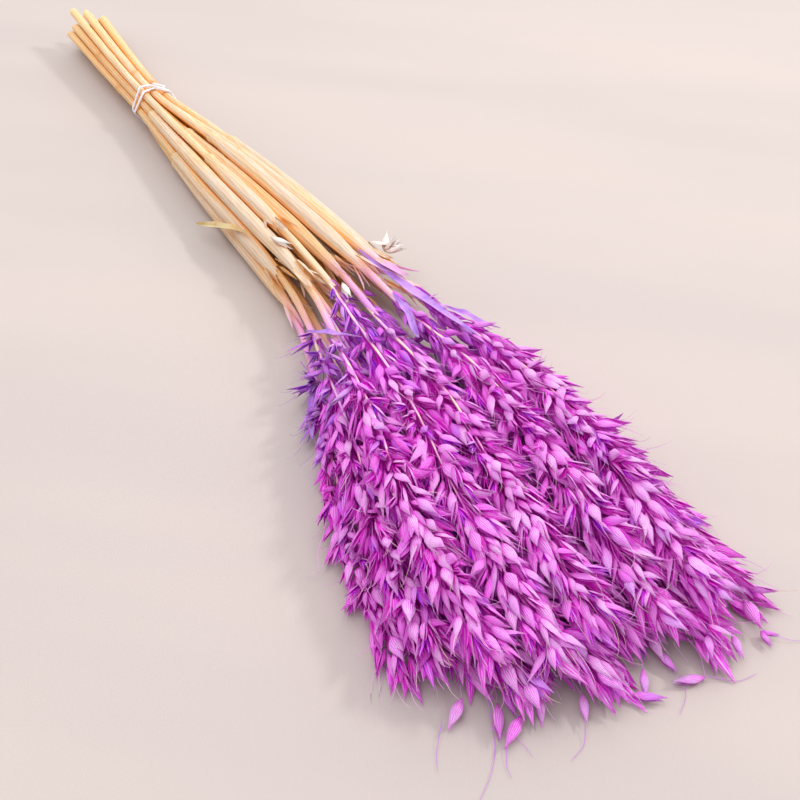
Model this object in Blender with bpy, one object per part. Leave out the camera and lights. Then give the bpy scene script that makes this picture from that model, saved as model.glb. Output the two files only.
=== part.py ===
"""A tied bundle of dried oat stalks lying flat, stems together at one end and heads fanned out at the other.

Every stalk is a hollow straw stem with a spindle-shaped head of spikelets on its end. The bundle is laid out
along X, from the cut ends to the tips of the heads, with Y across it and Z up from the surface it lies on.
All the cross-sections of the stems and heads stand square to X, so a stalk is a row of rings.
"""

import math
import random

import bmesh
import bpy
import numpy as np
from mathutils import Vector
from mathutils.bvhtree import BVHTree

MM = 0.001

# Stations along the bundle, measured from the mean cut end.
TIE_X = 115 * MM
HEAD_BASE_X = (338 * MM, 392 * MM)
LAST_TIP_X = 614 * MM
CUT_X = (-8 * MM, 14 * MM)

# The straws.
STEM_RADIUS = 2.3 * MM
SHEATH_RADIUS = 3.9 * MM
NECK_RADIUS = 1.6 * MM
BUTT_SHARE = 1.14
KNUCKLE_SWELL = 0.5 * MM
KNUCKLE_REACH = 4.5 * MM
BORE_RADIUS = 1.5 * MM
BORE_DEPTH = 9 * MM
STEM_SIDES = 8
STEM_STEP = 40 * MM

# How the straws are packed at the tie, and how far they splay at the cut ends.
STRAW_PITCH = 5.0 * MM
TIE_HEIGHT = 12.6 * MM
END_SPLAY = 1.32

# The heads lie in three layers. A head is wider than it is high, because the pile presses it flat.
HEADS_PER_LAYER = {"low": 7, "mid": 6, "top": 5}
HEAD_PITCH = 21.8 * MM
HEAD_RADIUS = 12 * MM
HEAD_FLATNESS = 0.76
LOWEST_HEAD_AXIS = 6.3 * MM
HEAD_SCATTER = 1.3 * MM
TIP_SCATTER = 5 * MM
TIP_SHORTFALL = 24 * MM
WHORL_DEPTH = 0.2
HEAD_SIDES = 8
WHORL_STEP = 24 * MM

# The elastic band is wound round the straws twice and crosses itself once, on top.
BAND_HALF_WIDTH = 1.1 * MM
BAND_HALF_THICKNESS = 0.5 * MM
BAND_SWAY = 3.6 * MM
BAND_LIFT = 1.4 * MM
BAND_LIFT_TURNS = 0.22
BAND_CROSSING = math.radians(75)
BAND_RINGS = 64
BAND_SIDES = 6

# Dry leaf blades lying on the pile: (x, y) along each one's middle in millimetres, its half width, and how far
# its tip stands up. The last is a scrap of straw-coloured sheath beside the stems.
BLADES = {
    "violet_blade_1": (((322, 29), (352, 34), (384, 37), (412, 39), (436, 41)), 2.6, 7),
    "violet_blade_2": (((368, 27), (383, 25), (398, 22), (414, 16)), 2.0, 5),
    "violet_blade_3": (((364, -22), (376, -17), (388, -11), (402, -6)), 2.2, 6),
    "violet_blade_4": (((386, -29), (398, -35), (411, -42), (425, -49)), 2.4, 4),
    "violet_blade_5": (((380, 49), (393, 53), (407, 57), (421, 62)), 2.2, 6),
    "straw_blade": (((282, -10), (266, -14), (249, -20), (234, -27)), 2.6, 1),
}
BLADE_THICKNESS = 0.7 * MM
BLADE_SLOPE = 0.35
BLADE_SIDES = 6
BLADE_RINGS = 10

# Loose husks caught on top of the straws: where each one's ends are, in millimetres.
HUSKS = {
    "loose_husk_1": ((316, 44), (333, 49)),
    "loose_husk_2": ((296, -5), (309, 1)),
    "loose_husk_3": ((352, 8), (367, 4)),
}
HUSK_RADIUS = 1.9 * MM

GAP = 0.3 * MM
SEED = 11

# How far the stalks have gone from their places in the tie (0) to their places in the fan (1), across and in
# height, at stations in millimetres.
SPREAD = (
    (60, 0), (96, 0), (115, 0.012), (150, 0.10), (207, 0.226), (273, 0.305), (337, 0.395), (386, 0.57),
    (430, 0.79), (470, 0.95), (500, 1.04), (550, 1.1), (620, 1.12),
)
RISE = ((60, 0), (110, 0), (210, 0.20), (337, 0.5), (430, 0.88), (500, 1), (620, 1.0))
# The middle of the bundle wanders to one side and back.
BOW_MM = (
    (-10, -2), (108, 0), (207, 9), (273, 14), (337, 17), (386, 14), (460, 9), (500, 5), (548, 1), (585, 2), (620, 6),
)
# How far the longest heads reach across the fan: (across, station) in millimetres.
FRONT_MM = ((-72, 566), (-50, 590), (-25, 600), (5, 607), (30, 612), (52, 609), (75, 613))
# The pile of heads sinks towards the tips.
SINK = ((0, 1), (440, 1), (500, 0.99), (545, 0.88), (590, 0.6), (620, 0.45))
# A head's radius along its own length, as a share of the fullest.
HEAD_OUTLINE = (
    (0, 0.17), (0.15, 0.4), (0.33, 0.76), (0.52, 0.97), (0.75, 1), (0.88, 0.88), (0.96, 0.56), (1, 0.14),
)


def through(points, at):
    """A smooth curve through (place, value) points. Each span is a cubic whose slopes are those of the chords
    round its ends, and beyond the first and last point the value stays as it is there."""
    place, value = (np.array(column, float) for column in zip(*points))
    slope = np.gradient(value, place)
    inside = np.clip(at, place[0], place[-1])
    span = np.clip(np.searchsorted(place, inside, side="right") - 1, 0, len(place) - 2)
    width = place[span + 1] - place[span]
    t = (inside - place[span]) / width
    start = (2 * t**3 - 3 * t**2 + 1) * value[span] + (t**3 - 2 * t**2 + t) * width * slope[span]
    end = (3 * t**2 - 2 * t**3) * value[span + 1] + (t**3 - t**2) * width * slope[span + 1]
    return start + end


def straw_slots(count):
    """(across, up) places of the straws inside the tie: the places of a triangular lattice nearest its middle,
    which packs round straws as tightly as they go."""
    row_height = STRAW_PITCH * math.sqrt(0.75)
    lattice = [
        ((column + 0.5 * (row % 2)) * STRAW_PITCH, row * row_height)
        for row in range(-3, 4)
        for column in range(-4, 4)
    ]
    lattice.sort(key=lambda place: (round(math.hypot(*place), 6), place[1], place[0]))
    return np.array(lattice[:count])


def head_slots(chance):
    """(across, up) places of the heads at the widest part of the fan, and their names: a pile in layers, each
    lying in the hollows of the one below."""
    row_height = HEAD_PITCH * HEAD_FLATNESS * math.sqrt(0.75)
    places = []
    names = []
    for layer, (name, count) in enumerate(HEADS_PER_LAYER.items()):
        for number in range(count):
            across = (number - (count - 1) / 2) * HEAD_PITCH + chance.uniform(-1, 1) * HEAD_SCATTER
            places.append((across, LOWEST_HEAD_AXIS + layer * row_height))
            names.append(f"{name}_{number + 1}")
    return np.array(places), names


def pair_up(straws, heads):
    """Gives every head its straw so that no two stalks cross: two straws trade places for as long as some pair
    lies the other way round in the tie than in the fan."""
    order = list(range(len(heads)))
    height_weight = 1 / HEAD_FLATNESS**2
    trading = True
    while trading:
        trading = False
        for i in range(len(order)):
            for j in range(i):
                straw = straws[order[i]] - straws[order[j]]
                head = heads[i] - heads[j]
                if straw[0] * head[0] + height_weight * straw[1] * head[1] < -1e-12:
                    order[i], order[j] = order[j], order[i]
                    trading = True
    return straws[order]


def stalk_axes(x, straws, heads, tip_drift):
    """(across, up) of every stalk's axis at the stations x, as an array of stalks by stations by 2."""
    x = np.atleast_1d(x)
    spread = through(SPREAD, x / MM)
    rise = through(RISE, x / MM)
    beyond_tie = np.clip((TIE_X - x) / TIE_X, 0, None) ** 1.4
    splay = 1 + (END_SPLAY - 1) * beyond_tie
    settle = STEM_RADIUS + GAP - TIE_HEIGHT - straws[:, 1].min() * END_SPLAY
    drift = tip_drift * np.clip((x - 0.44) / (LAST_TIP_X - 0.44), 0, None) ** 2
    across = straws[:, :1] * splay * (1 - spread) + heads[:, :1] * spread + through(BOW_MM, x / MM) * MM + drift
    in_tie = TIE_HEIGHT + straws[:, 1:] * splay + settle * beyond_tie
    up = (in_tie * (1 - rise) + heads[:, 1:] * rise) * through(SINK, x / MM)
    return np.stack([across, up], axis=2)


def room_round(axes):
    """Half the way from each stalk's axis to its nearest neighbour's at each station, with heights stretched so
    that a flattened head counts as round."""
    stretched = axes / np.array([1.0, HEAD_FLATNESS])
    apart = np.linalg.norm(stretched[:, None] - stretched[None, :], axis=3)
    apart += np.eye(len(axes))[:, :, None]
    return apart.min(axis=1) / 2


def straw_room(axes):
    """The same for round straws, in true heights."""
    apart = np.linalg.norm(axes[:, None] - axes[None, :], axis=3)
    apart += np.eye(len(axes))[:, :, None]
    return apart.min(axis=1) / 2


def oval(x, centre, radius, height, sides, turn=0.0):
    """Points of one oval cross-section with nothing below the surface that it lies on. It has a flat side down
    unless it is turned."""
    angle = (np.arange(sides) + 0.5) * 2 * math.pi / sides - math.pi / 2 + turn
    points = np.empty((sides, 3))
    points[:, 0] = x
    points[:, 1] = centre[0] + radius * np.cos(angle)
    points[:, 2] = np.maximum(centre[1] + height * np.sin(angle), 0.0)
    return points


def material(name, colour, roughness, metallic=0.0):
    """A Principled material of one colour."""
    made = bpy.data.materials.new(name)
    made.use_nodes = True
    shader = made.node_tree.nodes["Principled BSDF"]
    shader.inputs["Base Color"].default_value = (*colour, 1.0)
    shader.inputs["Roughness"].default_value = roughness
    shader.inputs["Metallic"].default_value = metallic
    return made


def ring_edges(shell, points):
    """A closed loop of edges through the points, made as a circle whose vertices are then put in place."""
    circle = bmesh.ops.create_circle(shell, cap_ends=False, radius=1.0, segments=len(points))
    for vertex, point in zip(circle["verts"], points):
        vertex.co = point
    return list({edge for vertex in circle["verts"] for edge in vertex.link_edges})


def lofted(name, rings, finish, bundle, closed=False):
    """One closed solid bridged over a row of rings with equal numbers of points, capped at both ends or joined
    end to end. Its origin is the middle of the first ring."""
    origin = np.mean(rings[0], axis=0)
    shell = bmesh.new()
    loops = [ring_edges(shell, points - origin) for points in rings]
    for near, far in zip(loops, loops[1:] + loops[:1] if closed else loops[1:]):
        bmesh.ops.bridge_loops(shell, edges=near + far)
    if not closed:
        bmesh.ops.contextual_create(shell, geom=loops[0])
        bmesh.ops.contextual_create(shell, geom=loops[-1])
    bmesh.ops.recalc_face_normals(shell, faces=shell.faces)
    mesh = bpy.data.meshes.new(name)
    shell.to_mesh(mesh)
    shell.free()
    mesh.materials.append(finish)
    mesh.shade_smooth()
    mesh.set_sharp_from_angle(angle=math.radians(50))
    made = bpy.data.objects.new(name, mesh)
    made.location = origin
    made.parent = bundle
    bpy.context.scene.collection.objects.link(made)
    return made


def straw_radius(x, knuckles, sheath, neck_x):
    """A straw's radius along its length: thicker towards the cut end, swollen at its knuckles, wide above the
    second knuckle where a leaf's sheath wraps it, and thin at the neck under the head."""
    above = np.clip((x - knuckles[1]) / (neck_x - knuckles[1]), 0, 1)
    butt = 1 + (BUTT_SHARE - 1) * np.clip((TIE_X - x) / TIE_X, 0, None)
    bare = (STEM_RADIUS + (NECK_RADIUS - STEM_RADIUS) * above) * butt
    wrapped = np.clip((x - knuckles[1]) / (14 * MM), 0, 1) * np.clip((1 - above) / 0.3, 0, 1)
    swell = sum(np.exp(-(((x - at) / (0.6 * KNUCKLE_REACH)) ** 2)) for at in knuckles)
    return bare + (sheath - bare) * wrapped + KNUCKLE_SWELL * swell


def straw_stations(start, knuckles, end):
    """Stations of a straw's rings: even steps, with three close together over each knuckle and at the tie."""
    close = [at + offset for at in (*knuckles, TIE_X) for offset in (-KNUCKLE_REACH, 0, KNUCKLE_REACH)]
    steps = np.linspace(start, end, round((end - start) / STEM_STEP) + 1)
    free = [x for x in steps[1:-1] if min(abs(x - at) for at in close) > 2 * KNUCKLE_REACH]
    return np.array(sorted([start, *free, *close, end]))


def head_stations(base, tip):
    """Stations of a head's rings: its two ends, and between them a grid that all the heads share, so that
    neighbours narrow and widen at the same places."""
    grid = np.arange(HEAD_BASE_X[0], LAST_TIP_X, WHORL_STEP / 2)
    inner = grid[(grid > base + 0.3 * WHORL_STEP) & (grid < tip - 0.2 * WHORL_STEP)]
    return np.concatenate([[base], inner, [tip]])


def head_radius(x, base, tip):
    """A head's radius before its neighbours press on it, drawn in between its whorls of spikelets."""
    along = (x - base) / (tip - base)
    whorl = 1 - WHORL_DEPTH * (0.5 + 0.5 * np.cos(2 * math.pi * (x - HEAD_BASE_X[0]) / WHORL_STEP))
    return HEAD_RADIUS * through(HEAD_OUTLINE, along) * whorl


def pile_of(pieces):
    """The surfaces of the pieces as one searchable tree, before the bundle is moved to its origin."""
    points = []
    faces = []
    for piece in pieces:
        first = len(points)
        points += [vertex.co + piece.location for vertex in piece.data.vertices]
        faces += [[first + index for index in face.vertices] for face in piece.data.polygons]
    return BVHTree.FromPolygons(points, faces)


def height_under(pile, x, y, reach):
    """The height of the pile's highest point in a small square of half width reach round (x, y)."""
    highest = 0.0
    for across in np.linspace(-reach, reach, 5):
        for along in np.linspace(-reach, reach, 5):
            hit, _, _, _ = pile.ray_cast(Vector((x + along, y + across, 0.2)), Vector((0, 0, -1)))
            highest = max(highest, hit.z if hit else 0.0)
    return highest


def dropped(rings, pile):
    """The rings let down together until the piece lies a gap above the pile."""
    rings = np.array(rings)
    between = np.linspace(0, 1, 5)[:, None, None, None]
    along = (rings[:-1] + (rings[1:] - rings[:-1]) * between).reshape(-1, rings.shape[1], 3)
    edges = np.roll(along, 1, axis=1) - along
    surface = np.concatenate([along + edges * share for share in (0, 0.25, 0.5, 0.75)]).reshape(-1, 3)
    falls = [pile.ray_cast(Vector(point), Vector((0, 0, -1)))[3] for point in surface]
    return rings - (0, 0, min(fall for fall in falls if fall is not None) - 1.2 * GAP)


def add_band(axes_at, finish, bundle):
    """The elastic band. It follows a string pulled tight round the straws: in each direction, the furthest that
    any straw reaches. It is lifted over itself where its second turn crosses the first."""
    edge = BAND_SWAY + BAND_HALF_WIDTH
    centres = axes_at(TIE_X + np.array([-edge, 0, edge])).reshape(-1, 2)
    middle = centres.mean(axis=0)
    wrap = STEM_RADIUS + GAP + BAND_HALF_THICKNESS
    rings = []
    for step in range(BAND_RINGS):
        turn = 2 * step / BAND_RINGS
        angle = 2 * math.pi * turn + BAND_CROSSING
        outward = np.array([math.cos(angle), math.sin(angle)])
        reach = (centres - middle) @ outward
        weight = np.exp((reach - reach.max()) / (0.15 * MM))
        touched = (weight / weight.sum()) @ (centres - middle)
        over = max(1 - abs(turn - 1) / BAND_LIFT_TURNS, 0)
        lift = BAND_LIFT * math.sin(0.5 * math.pi * over)
        path = middle + touched + outward * (wrap + lift + reach.max() - touched @ outward)
        place = np.array([TIE_X + BAND_SWAY * math.sin(math.pi * turn), *path])
        around = (np.arange(BAND_SIDES) + 0.5) * 2 * math.pi / BAND_SIDES
        along = BAND_HALF_WIDTH * np.cos(around)
        thick = BAND_HALF_THICKNESS * np.sin(around)
        rings.append(place + np.stack([along, outward[0] * thick, outward[1] * thick], axis=1))
    lofted("elastic_band", rings, finish, bundle, closed=True)


def add_blade(name, middle_mm, half_width, tip_rise, pile, finish, bundle):
    """A dry leaf blade that lies on the pile: a flat ribbon pointed at its tip, with the tip standing up. It is
    too stiff to bend steeply, so its height at a place is the most that any part of the pile under it asks for,
    less what the blade can drop on the way there."""
    along = np.linspace(0, 1, BLADE_RINGS)
    knots = np.linspace(0, 1, len(middle_mm))
    x = through(list(zip(knots, (point[0] for point in middle_mm))), along) * MM
    y = through(list(zip(knots, (point[1] for point in middle_mm))), along) * MM
    under = np.array([height_under(pile, *point, half_width * MM) for point in zip(x, y)])
    away = np.hypot(x[:, None] - x[None, :], y[:, None] - y[None, :])
    resting = (under[None, :] - BLADE_SLOPE * away).max(axis=1)
    z = resting + 2 * BLADE_THICKNESS + tip_rise * MM * along**2
    spine = np.stack([x, y, z], axis=1)
    heading = np.gradient(spine, axis=0)
    width = half_width * MM * np.sqrt(np.clip(1 - along**3, 0.02, 1)) * (0.55 + 0.45 * np.minimum(along / 0.3, 1))
    around = (np.arange(BLADE_SIDES) + 0.5) * 2 * math.pi / BLADE_SIDES
    rings = []
    for point, forward, half in zip(spine, heading, width):
        side = Vector((0, 0, 1)).cross(Vector(forward)).normalized()
        normal = Vector(forward).cross(side).normalized()
        offset = np.outer(half * np.cos(around), side) + np.outer(BLADE_THICKNESS / 2 * np.sin(around), normal)
        rings.append(point + offset)
    lofted(name, dropped(rings, pile), finish, bundle)


def add_husk(name, ends_mm, pile, finish, bundle):
    """A loose empty husk: a slim boat shape lying on the straws."""
    start, end = (Vector((*point, 0)) * MM for point in ends_mm)
    middle = (start + end) / 2
    height = height_under(pile, middle.x, middle.y, (end - start).length / 2) + 2 * HUSK_RADIUS
    side = Vector((0, 0, 1)).cross(end - start).normalized()
    around = (np.arange(BLADE_SIDES) + 0.5) * 2 * math.pi / BLADE_SIDES
    rings = []
    for along in (0.0, 0.12, 0.35, 0.6, 0.85, 1.0):
        radius = HUSK_RADIUS * (0.16 + 0.84 * math.sin(math.pi * min(along * 1.05, 0.98)) ** 0.8)
        spine = np.array(start.lerp(end, along)) + np.array([0, 0, height])
        offset = np.outer(radius * np.cos(around), side) + np.outer(radius * np.sin(around), (0, 0, 1))
        rings.append(spine + offset)
    lofted(name, dropped(rings, pile), finish, bundle)


def build():
    for old in list(bpy.data.objects):
        bpy.data.objects.remove(old, do_unlink=True)
    bundle = bpy.data.objects.new("oat_bundle", None)
    bpy.context.scene.collection.objects.link(bundle)

    chance = random.Random(SEED)
    heads, names = head_slots(chance)
    straws = pair_up(straw_slots(len(names)), heads)
    drift = np.array([[chance.uniform(-1, 1)] for _ in names]) * TIP_SCATTER

    def axes_at(x):
        return stalk_axes(x, straws, heads, drift)

    stalks = []
    for number, name in enumerate(names):
        start = chance.uniform(*CUT_X) + (14 * MM if chance.random() < 0.12 else 0)
        base = chance.uniform(*HEAD_BASE_X)
        tip = float(through(FRONT_MM, heads[number][0] / MM)) * MM - TIP_SHORTFALL * chance.random()
        knuckles = (chance.uniform(44, 70) * MM, chance.uniform(134, 214) * MM)
        sheath = SHEATH_RADIUS * chance.uniform(0.8, 1.08)

        straw = straw_stations(start, knuckles, base - GAP / 2)
        axes = axes_at(straw)
        centres = axes[number]
        room = np.minimum(straw_room(axes)[number] - GAP / 2, centres[:, 1])
        radius = np.minimum(straw_radius(straw, knuckles, sheath, base), room)
        turn = (number + 0.5) * 0.618 % 1 * 2 * math.pi / STEM_SIDES
        bore_end = start + BORE_DEPTH
        rings = [
            oval(bore_end, axes_at(bore_end)[number][0], BORE_RADIUS, BORE_RADIUS, STEM_SIDES, turn),
            oval(start, centres[0], BORE_RADIUS, BORE_RADIUS, STEM_SIDES, turn),
        ]
        rings += [oval(*station, STEM_SIDES, turn) for station in zip(straw, centres, radius, radius)]
        green = chance.uniform(-0.04, 0.04)
        straw_finish = material(f"straw_{name}", (0.80 + green, 0.66 + green, 0.40 + green), 0.55)
        stalks.append(lofted(f"stem_{name}", rings, straw_finish, bundle))

        spikes = head_stations(base + GAP / 2, tip)
        axes = axes_at(spikes)
        radius = np.minimum(head_radius(spikes, base, tip), room_round(axes)[number] - GAP / 2)
        heights = radius * HEAD_FLATNESS
        rings = [oval(*station, HEAD_SIDES) for station in zip(spikes, axes[number], radius, heights)]
        dyed = chance.uniform(-0.06, 0.06)
        head_finish = material(f"dyed_{name}", (0.55 + dyed, 0.13 + dyed, 0.58 + dyed), 0.7)
        stalks.append(lofted(f"head_{name}", rings, head_finish, bundle))

    add_band(axes_at, material("white_elastic", (0.86, 0.85, 0.82), 0.6), bundle)
    pile = pile_of(stalks)
    for name, (middle_mm, half_width, tip_rise) in BLADES.items():
        colour = (0.30, 0.12, 0.45) if name.startswith("violet") else (0.86, 0.76, 0.55)
        add_blade(name, middle_mm, half_width, tip_rise, pile, material(name, colour, 0.6), bundle)
    for name, ends_mm in HUSKS.items():
        add_husk(name, ends_mm, pile, material(name, (0.90, 0.86, 0.78), 0.6), bundle)

    bpy.context.view_layer.update()
    corners = np.array([
        made.matrix_world @ Vector(corner)
        for made in bpy.data.objects
        if made.type == "MESH"
        for corner in made.bound_box
    ])
    low, high = corners.min(axis=0), corners.max(axis=0)
    bundle.location = (-(low[0] + high[0]) / 2, -(low[1] + high[1]) / 2, -low[2])


build()
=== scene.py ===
# %% [markdown]
# A bundle of dried oats, cut, dyed and tied, lying on a table. Straw stems run from the cut ends through a white
# elastic band and open into a fan of eighteen dense heads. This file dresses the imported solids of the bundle:
# each straw gets its leaf sheath, and each head is built out of separate spikelets, as on the plant.

import math

import bpy
import numpy as np
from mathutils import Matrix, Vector


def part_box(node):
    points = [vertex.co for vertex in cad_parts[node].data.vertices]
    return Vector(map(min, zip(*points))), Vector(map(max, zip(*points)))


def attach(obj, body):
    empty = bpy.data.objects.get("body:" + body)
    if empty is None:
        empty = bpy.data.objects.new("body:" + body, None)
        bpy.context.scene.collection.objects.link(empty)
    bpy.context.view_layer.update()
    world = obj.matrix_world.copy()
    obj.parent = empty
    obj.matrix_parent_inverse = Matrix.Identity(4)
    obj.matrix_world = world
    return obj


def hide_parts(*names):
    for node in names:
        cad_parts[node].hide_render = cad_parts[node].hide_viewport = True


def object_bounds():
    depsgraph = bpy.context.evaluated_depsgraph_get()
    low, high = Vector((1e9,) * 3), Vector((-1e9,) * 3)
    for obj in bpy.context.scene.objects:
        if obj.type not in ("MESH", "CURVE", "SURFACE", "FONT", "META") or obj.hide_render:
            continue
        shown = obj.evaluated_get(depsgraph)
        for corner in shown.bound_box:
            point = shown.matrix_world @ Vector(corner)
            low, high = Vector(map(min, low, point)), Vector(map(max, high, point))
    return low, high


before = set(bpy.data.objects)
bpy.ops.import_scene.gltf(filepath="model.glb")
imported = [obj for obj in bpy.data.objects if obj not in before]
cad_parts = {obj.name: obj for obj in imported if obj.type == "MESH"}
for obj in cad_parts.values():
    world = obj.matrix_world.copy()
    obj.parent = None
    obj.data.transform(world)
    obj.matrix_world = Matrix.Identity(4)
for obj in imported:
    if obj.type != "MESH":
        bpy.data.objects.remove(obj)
cad_box = [list(corner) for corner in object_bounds()]
MM = 0.001
chance = np.random.default_rng(7)
names = [node.removeprefix("head_") for node in sorted(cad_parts) if node.startswith("head_")]
print(len(names), "stalks in a box of", np.round(np.subtract(cad_box[1], cad_box[0]), 3), "m")

# %% [markdown]
# The photograph looks down on the bundle at about forty-six degrees from close by, with the heads near the lens
# and the cut ends far away, so the camera stands half a metre off and carries a slightly long lens.

# %% Camera
LOOK_DOWN = math.radians(45.9)
RIGHT = Vector((0.5110, 0.8596, 0.0))
AWAY = Vector((-0.8596, 0.5110, 0.0))
camera_data = bpy.data.cameras.new("camera")
camera_data.lens = 54.0
camera_data.sensor_width = 36.0
camera_data.clip_start = 0.01
camera = bpy.data.objects.new("camera", camera_data)
camera.location = (0.4669, -0.2083, 0.4322)
camera.rotation_mode = "QUATERNION"
camera.rotation_quaternion = (AWAY * math.cos(LOOK_DOWN) + Vector((0, 0, -math.sin(LOOK_DOWN)))).to_track_quat("-Z", "Y")
bpy.context.scene.collection.objects.link(camera)
bpy.context.scene.camera = camera
bpy.context.scene.view_settings.view_transform = "Standard"
bpy.context.scene.view_settings.look = "None"
print("camera at", tuple(round(c, 3) for c in camera.location), "m")

# %% [markdown]
# Every finish here is a Principled shader whose colour, roughness and bump come from small node networks. The
# next helpers start a material, mix two colours, do one sum and lay a pattern, so a finish reads as a recipe.

# %% Helpers for node networks
def srgb(red, green, blue):
    """A colour given as it looks on a screen, 0 to 255, in the linear values that shaders use."""
    share = np.array([red, green, blue]) / 255
    return tuple(np.where(share <= 0.04045, share / 12.92, ((share + 0.055) / 1.055) ** 2.4).tolist())


def put(tree, value, socket):
    """Gives a socket its value: a link from another socket, a number or a colour."""
    if isinstance(value, bpy.types.NodeSocket):
        tree.links.new(value, socket)
    elif isinstance(value, tuple):
        socket.default_value = (*value, 1.0) if len(value) == 3 and len(socket.default_value) == 4 else value
    else:
        socket.default_value = value


SOCKETS = {
    "roughness": "Roughness",
    "gloss": "Specular IOR Level",
    "glow_through": "Subsurface Weight",
    "glow_reach": "Subsurface Scale",
    "glow_colours": "Subsurface Radius",
}


def finish(name, **constants):
    """A new material with its node tree and its Principled shader, whose named sockets get plain numbers."""
    made = bpy.data.materials.new(name)
    made.use_nodes = True
    shader = made.node_tree.nodes["Principled BSDF"]
    for title, value in constants.items():
        put(made.node_tree, value, shader.inputs[SOCKETS[title]])
    return made, made.node_tree, shader


def blended(tree, factor, low, high, mode="MIX"):
    """The colour that goes from low to high as the factor goes from 0 to 1."""
    node = tree.nodes.new("ShaderNodeMix")
    node.data_type = "RGBA"
    node.blend_type = mode
    for place, value in ((0, factor), (6, low), (7, high)):
        put(tree, value, node.inputs[place])
    return node.outputs[2]


def sum_of(tree, operation, *values):
    """The result of one Math node on sockets or plain numbers."""
    node = tree.nodes.new("ShaderNodeMath")
    node.operation = operation
    for socket, value in zip(node.inputs, values):
        put(tree, value, socket)
    return node.outputs[0]


def fitted(tree, value, low, high, start=0.0, end=1.0):
    """The value moved from the range low to high to the range start to end, eased and held at its ends."""
    node = tree.nodes.new("ShaderNodeMapRange")
    node.interpolation_type = "SMOOTHSTEP"
    for place, number in enumerate((value, low, high, start, end)):
        put(tree, number, node.inputs[place])
    return node.outputs[0]


def cloudy(tree, place, scale, detail=2.0):
    """Soft noise from 0 to 1 at that many spots a metre."""
    node = tree.nodes.new("ShaderNodeTexNoise")
    node.inputs["Scale"].default_value = scale
    node.inputs["Detail"].default_value = detail
    tree.links.new(place, node.inputs["Vector"])
    return node.outputs["Fac"]


def place_on(tree, which="Object"):
    """The Object coordinates of the surface, or its UV map, as a vector and as its separate numbers."""
    place = tree.nodes.new("ShaderNodeTexCoord").outputs[which]
    split = tree.nodes.new("ShaderNodeSeparateXYZ")
    tree.links.new(place, split.inputs[0])
    return place, split.outputs


def openness(tree, reach):
    """How open the surface is there, from 0 in a deep gap to 1, looking out as far as reach metres. The finishes paint
    shade into gaps with it.
    """
    node = tree.nodes.new("ShaderNodeAmbientOcclusion")
    node.samples = 4
    node.inputs["Distance"].default_value = reach
    return node.outputs["AO"]


def bumped(tree, height, strength, depth, shader):
    """Lets the height, from 0 to 1, raise the surface by up to depth metres."""
    node = tree.nodes.new("ShaderNodeBump")
    node.inputs["Strength"].default_value = strength
    node.inputs["Distance"].default_value = depth
    put(tree, height, node.inputs["Height"])
    tree.links.new(node.outputs["Normal"], shader.inputs["Normal"])


print("lilac is", np.round(srgb(222, 150, 228), 3), "in linear values")

# %% [markdown]
# The bundle lies on a pale cotton cloth. Its threads pass over and under each other, which a product of two sine waves
# at right angles draws, and long soft slanting bands of painted shadow, as from a window, lie across it. A sheet of
# four points is enough, because all of that is in the finish.

# %% Cloth floor
FLOOR_REACH = 14.0


def stretched(tree, place, turn, stretch):
    """The place turned about Z by an angle and then scaled, so that a pattern on it comes out in streaks."""
    node = tree.nodes.new("ShaderNodeMapping")
    node.vector_type = "TEXTURE"
    node.inputs["Rotation"].default_value = (0.0, 0.0, turn)
    node.inputs["Scale"].default_value = stretch
    tree.links.new(place, node.inputs["Vector"])
    return node.outputs[0]


def cloth_finish():
    """Pale cotton: a fine weave in the bump, soft slanting bands of painted shadow, and paler far off as painted light,
    where less lamplight falls.
    """
    made, tree, shader = finish("pale_cloth", roughness=0.9)
    place, (x, y, z) = place_on(tree)
    turn = 2 * math.pi / 0.0012
    warp = sum_of(tree, "SINE", sum_of(tree, "MULTIPLY", x, turn))
    weft = sum_of(tree, "SINE", sum_of(tree, "MULTIPLY", y, turn))
    weave = sum_of(tree, "MULTIPLY_ADD", sum_of(tree, "MULTIPLY", warp, weft), 0.5, 0.5)
    # Painted shadow: soft slanting bands of slightly darker tone, as from a window, lie across the cloth.
    bands = stretched(tree, place, math.atan2(RIGHT.y, RIGHT.x) - 0.2, (1.2, 0.2, 1.0))
    band = fitted(tree, cloudy(tree, bands, 2.0), 0.36, 0.64)
    tone = blended(tree, band, srgb(179, 171, 168), srgb(184, 175, 171))
    distance = sum_of(tree, "SQRT", sum_of(tree, "MULTIPLY_ADD", x, x, sum_of(tree, "MULTIPLY", y, y)))
    tone = blended(tree, fitted(tree, distance, 0.7, 3.2), tone, srgb(240, 228, 223))
    put(tree, tone, shader.inputs["Base Color"])
    bumped(tree, weave, 0.3, 0.0001, shader)
    return made


def sheet_at(name, reach, height, colouring):
    """A flat square sheet, from minus reach to plus reach in X and Y, at one height."""
    mesh = bpy.data.meshes.new(name)
    corners = [(-reach, -reach), (reach, -reach), (reach, reach), (-reach, reach)]
    mesh.from_pydata([(x, y, height) for x, y in corners], [], [(0, 1, 2, 3)])
    mesh.materials.append(colouring)
    made = bpy.data.objects.new(name, mesh)
    bpy.context.scene.collection.objects.link(made)


sheet_at("cloth", FLOOR_REACH, 0.0, cloth_finish())
print("cloth", 2 * FLOOR_REACH, "m square")

# %% [markdown]
# Soft daylight: most of it comes from a pale room all round and from a bright ceiling, some from a broad diffuser
# behind the bundle, and the rest from a smaller window on the right, which gives the clear edge of the shadow on
# the left. The share of the window sets how dark that shadow is.

# %% Light
world = bpy.data.worlds.new("pale_room")
world.use_nodes = True
world.node_tree.nodes["Background"].inputs["Color"].default_value = (*srgb(252, 247, 247), 1.0)
world.node_tree.nodes["Background"].inputs["Strength"].default_value = 0.91
bpy.context.scene.world = world
AIM = Vector((0.1, 0.0, 0.0))


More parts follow.
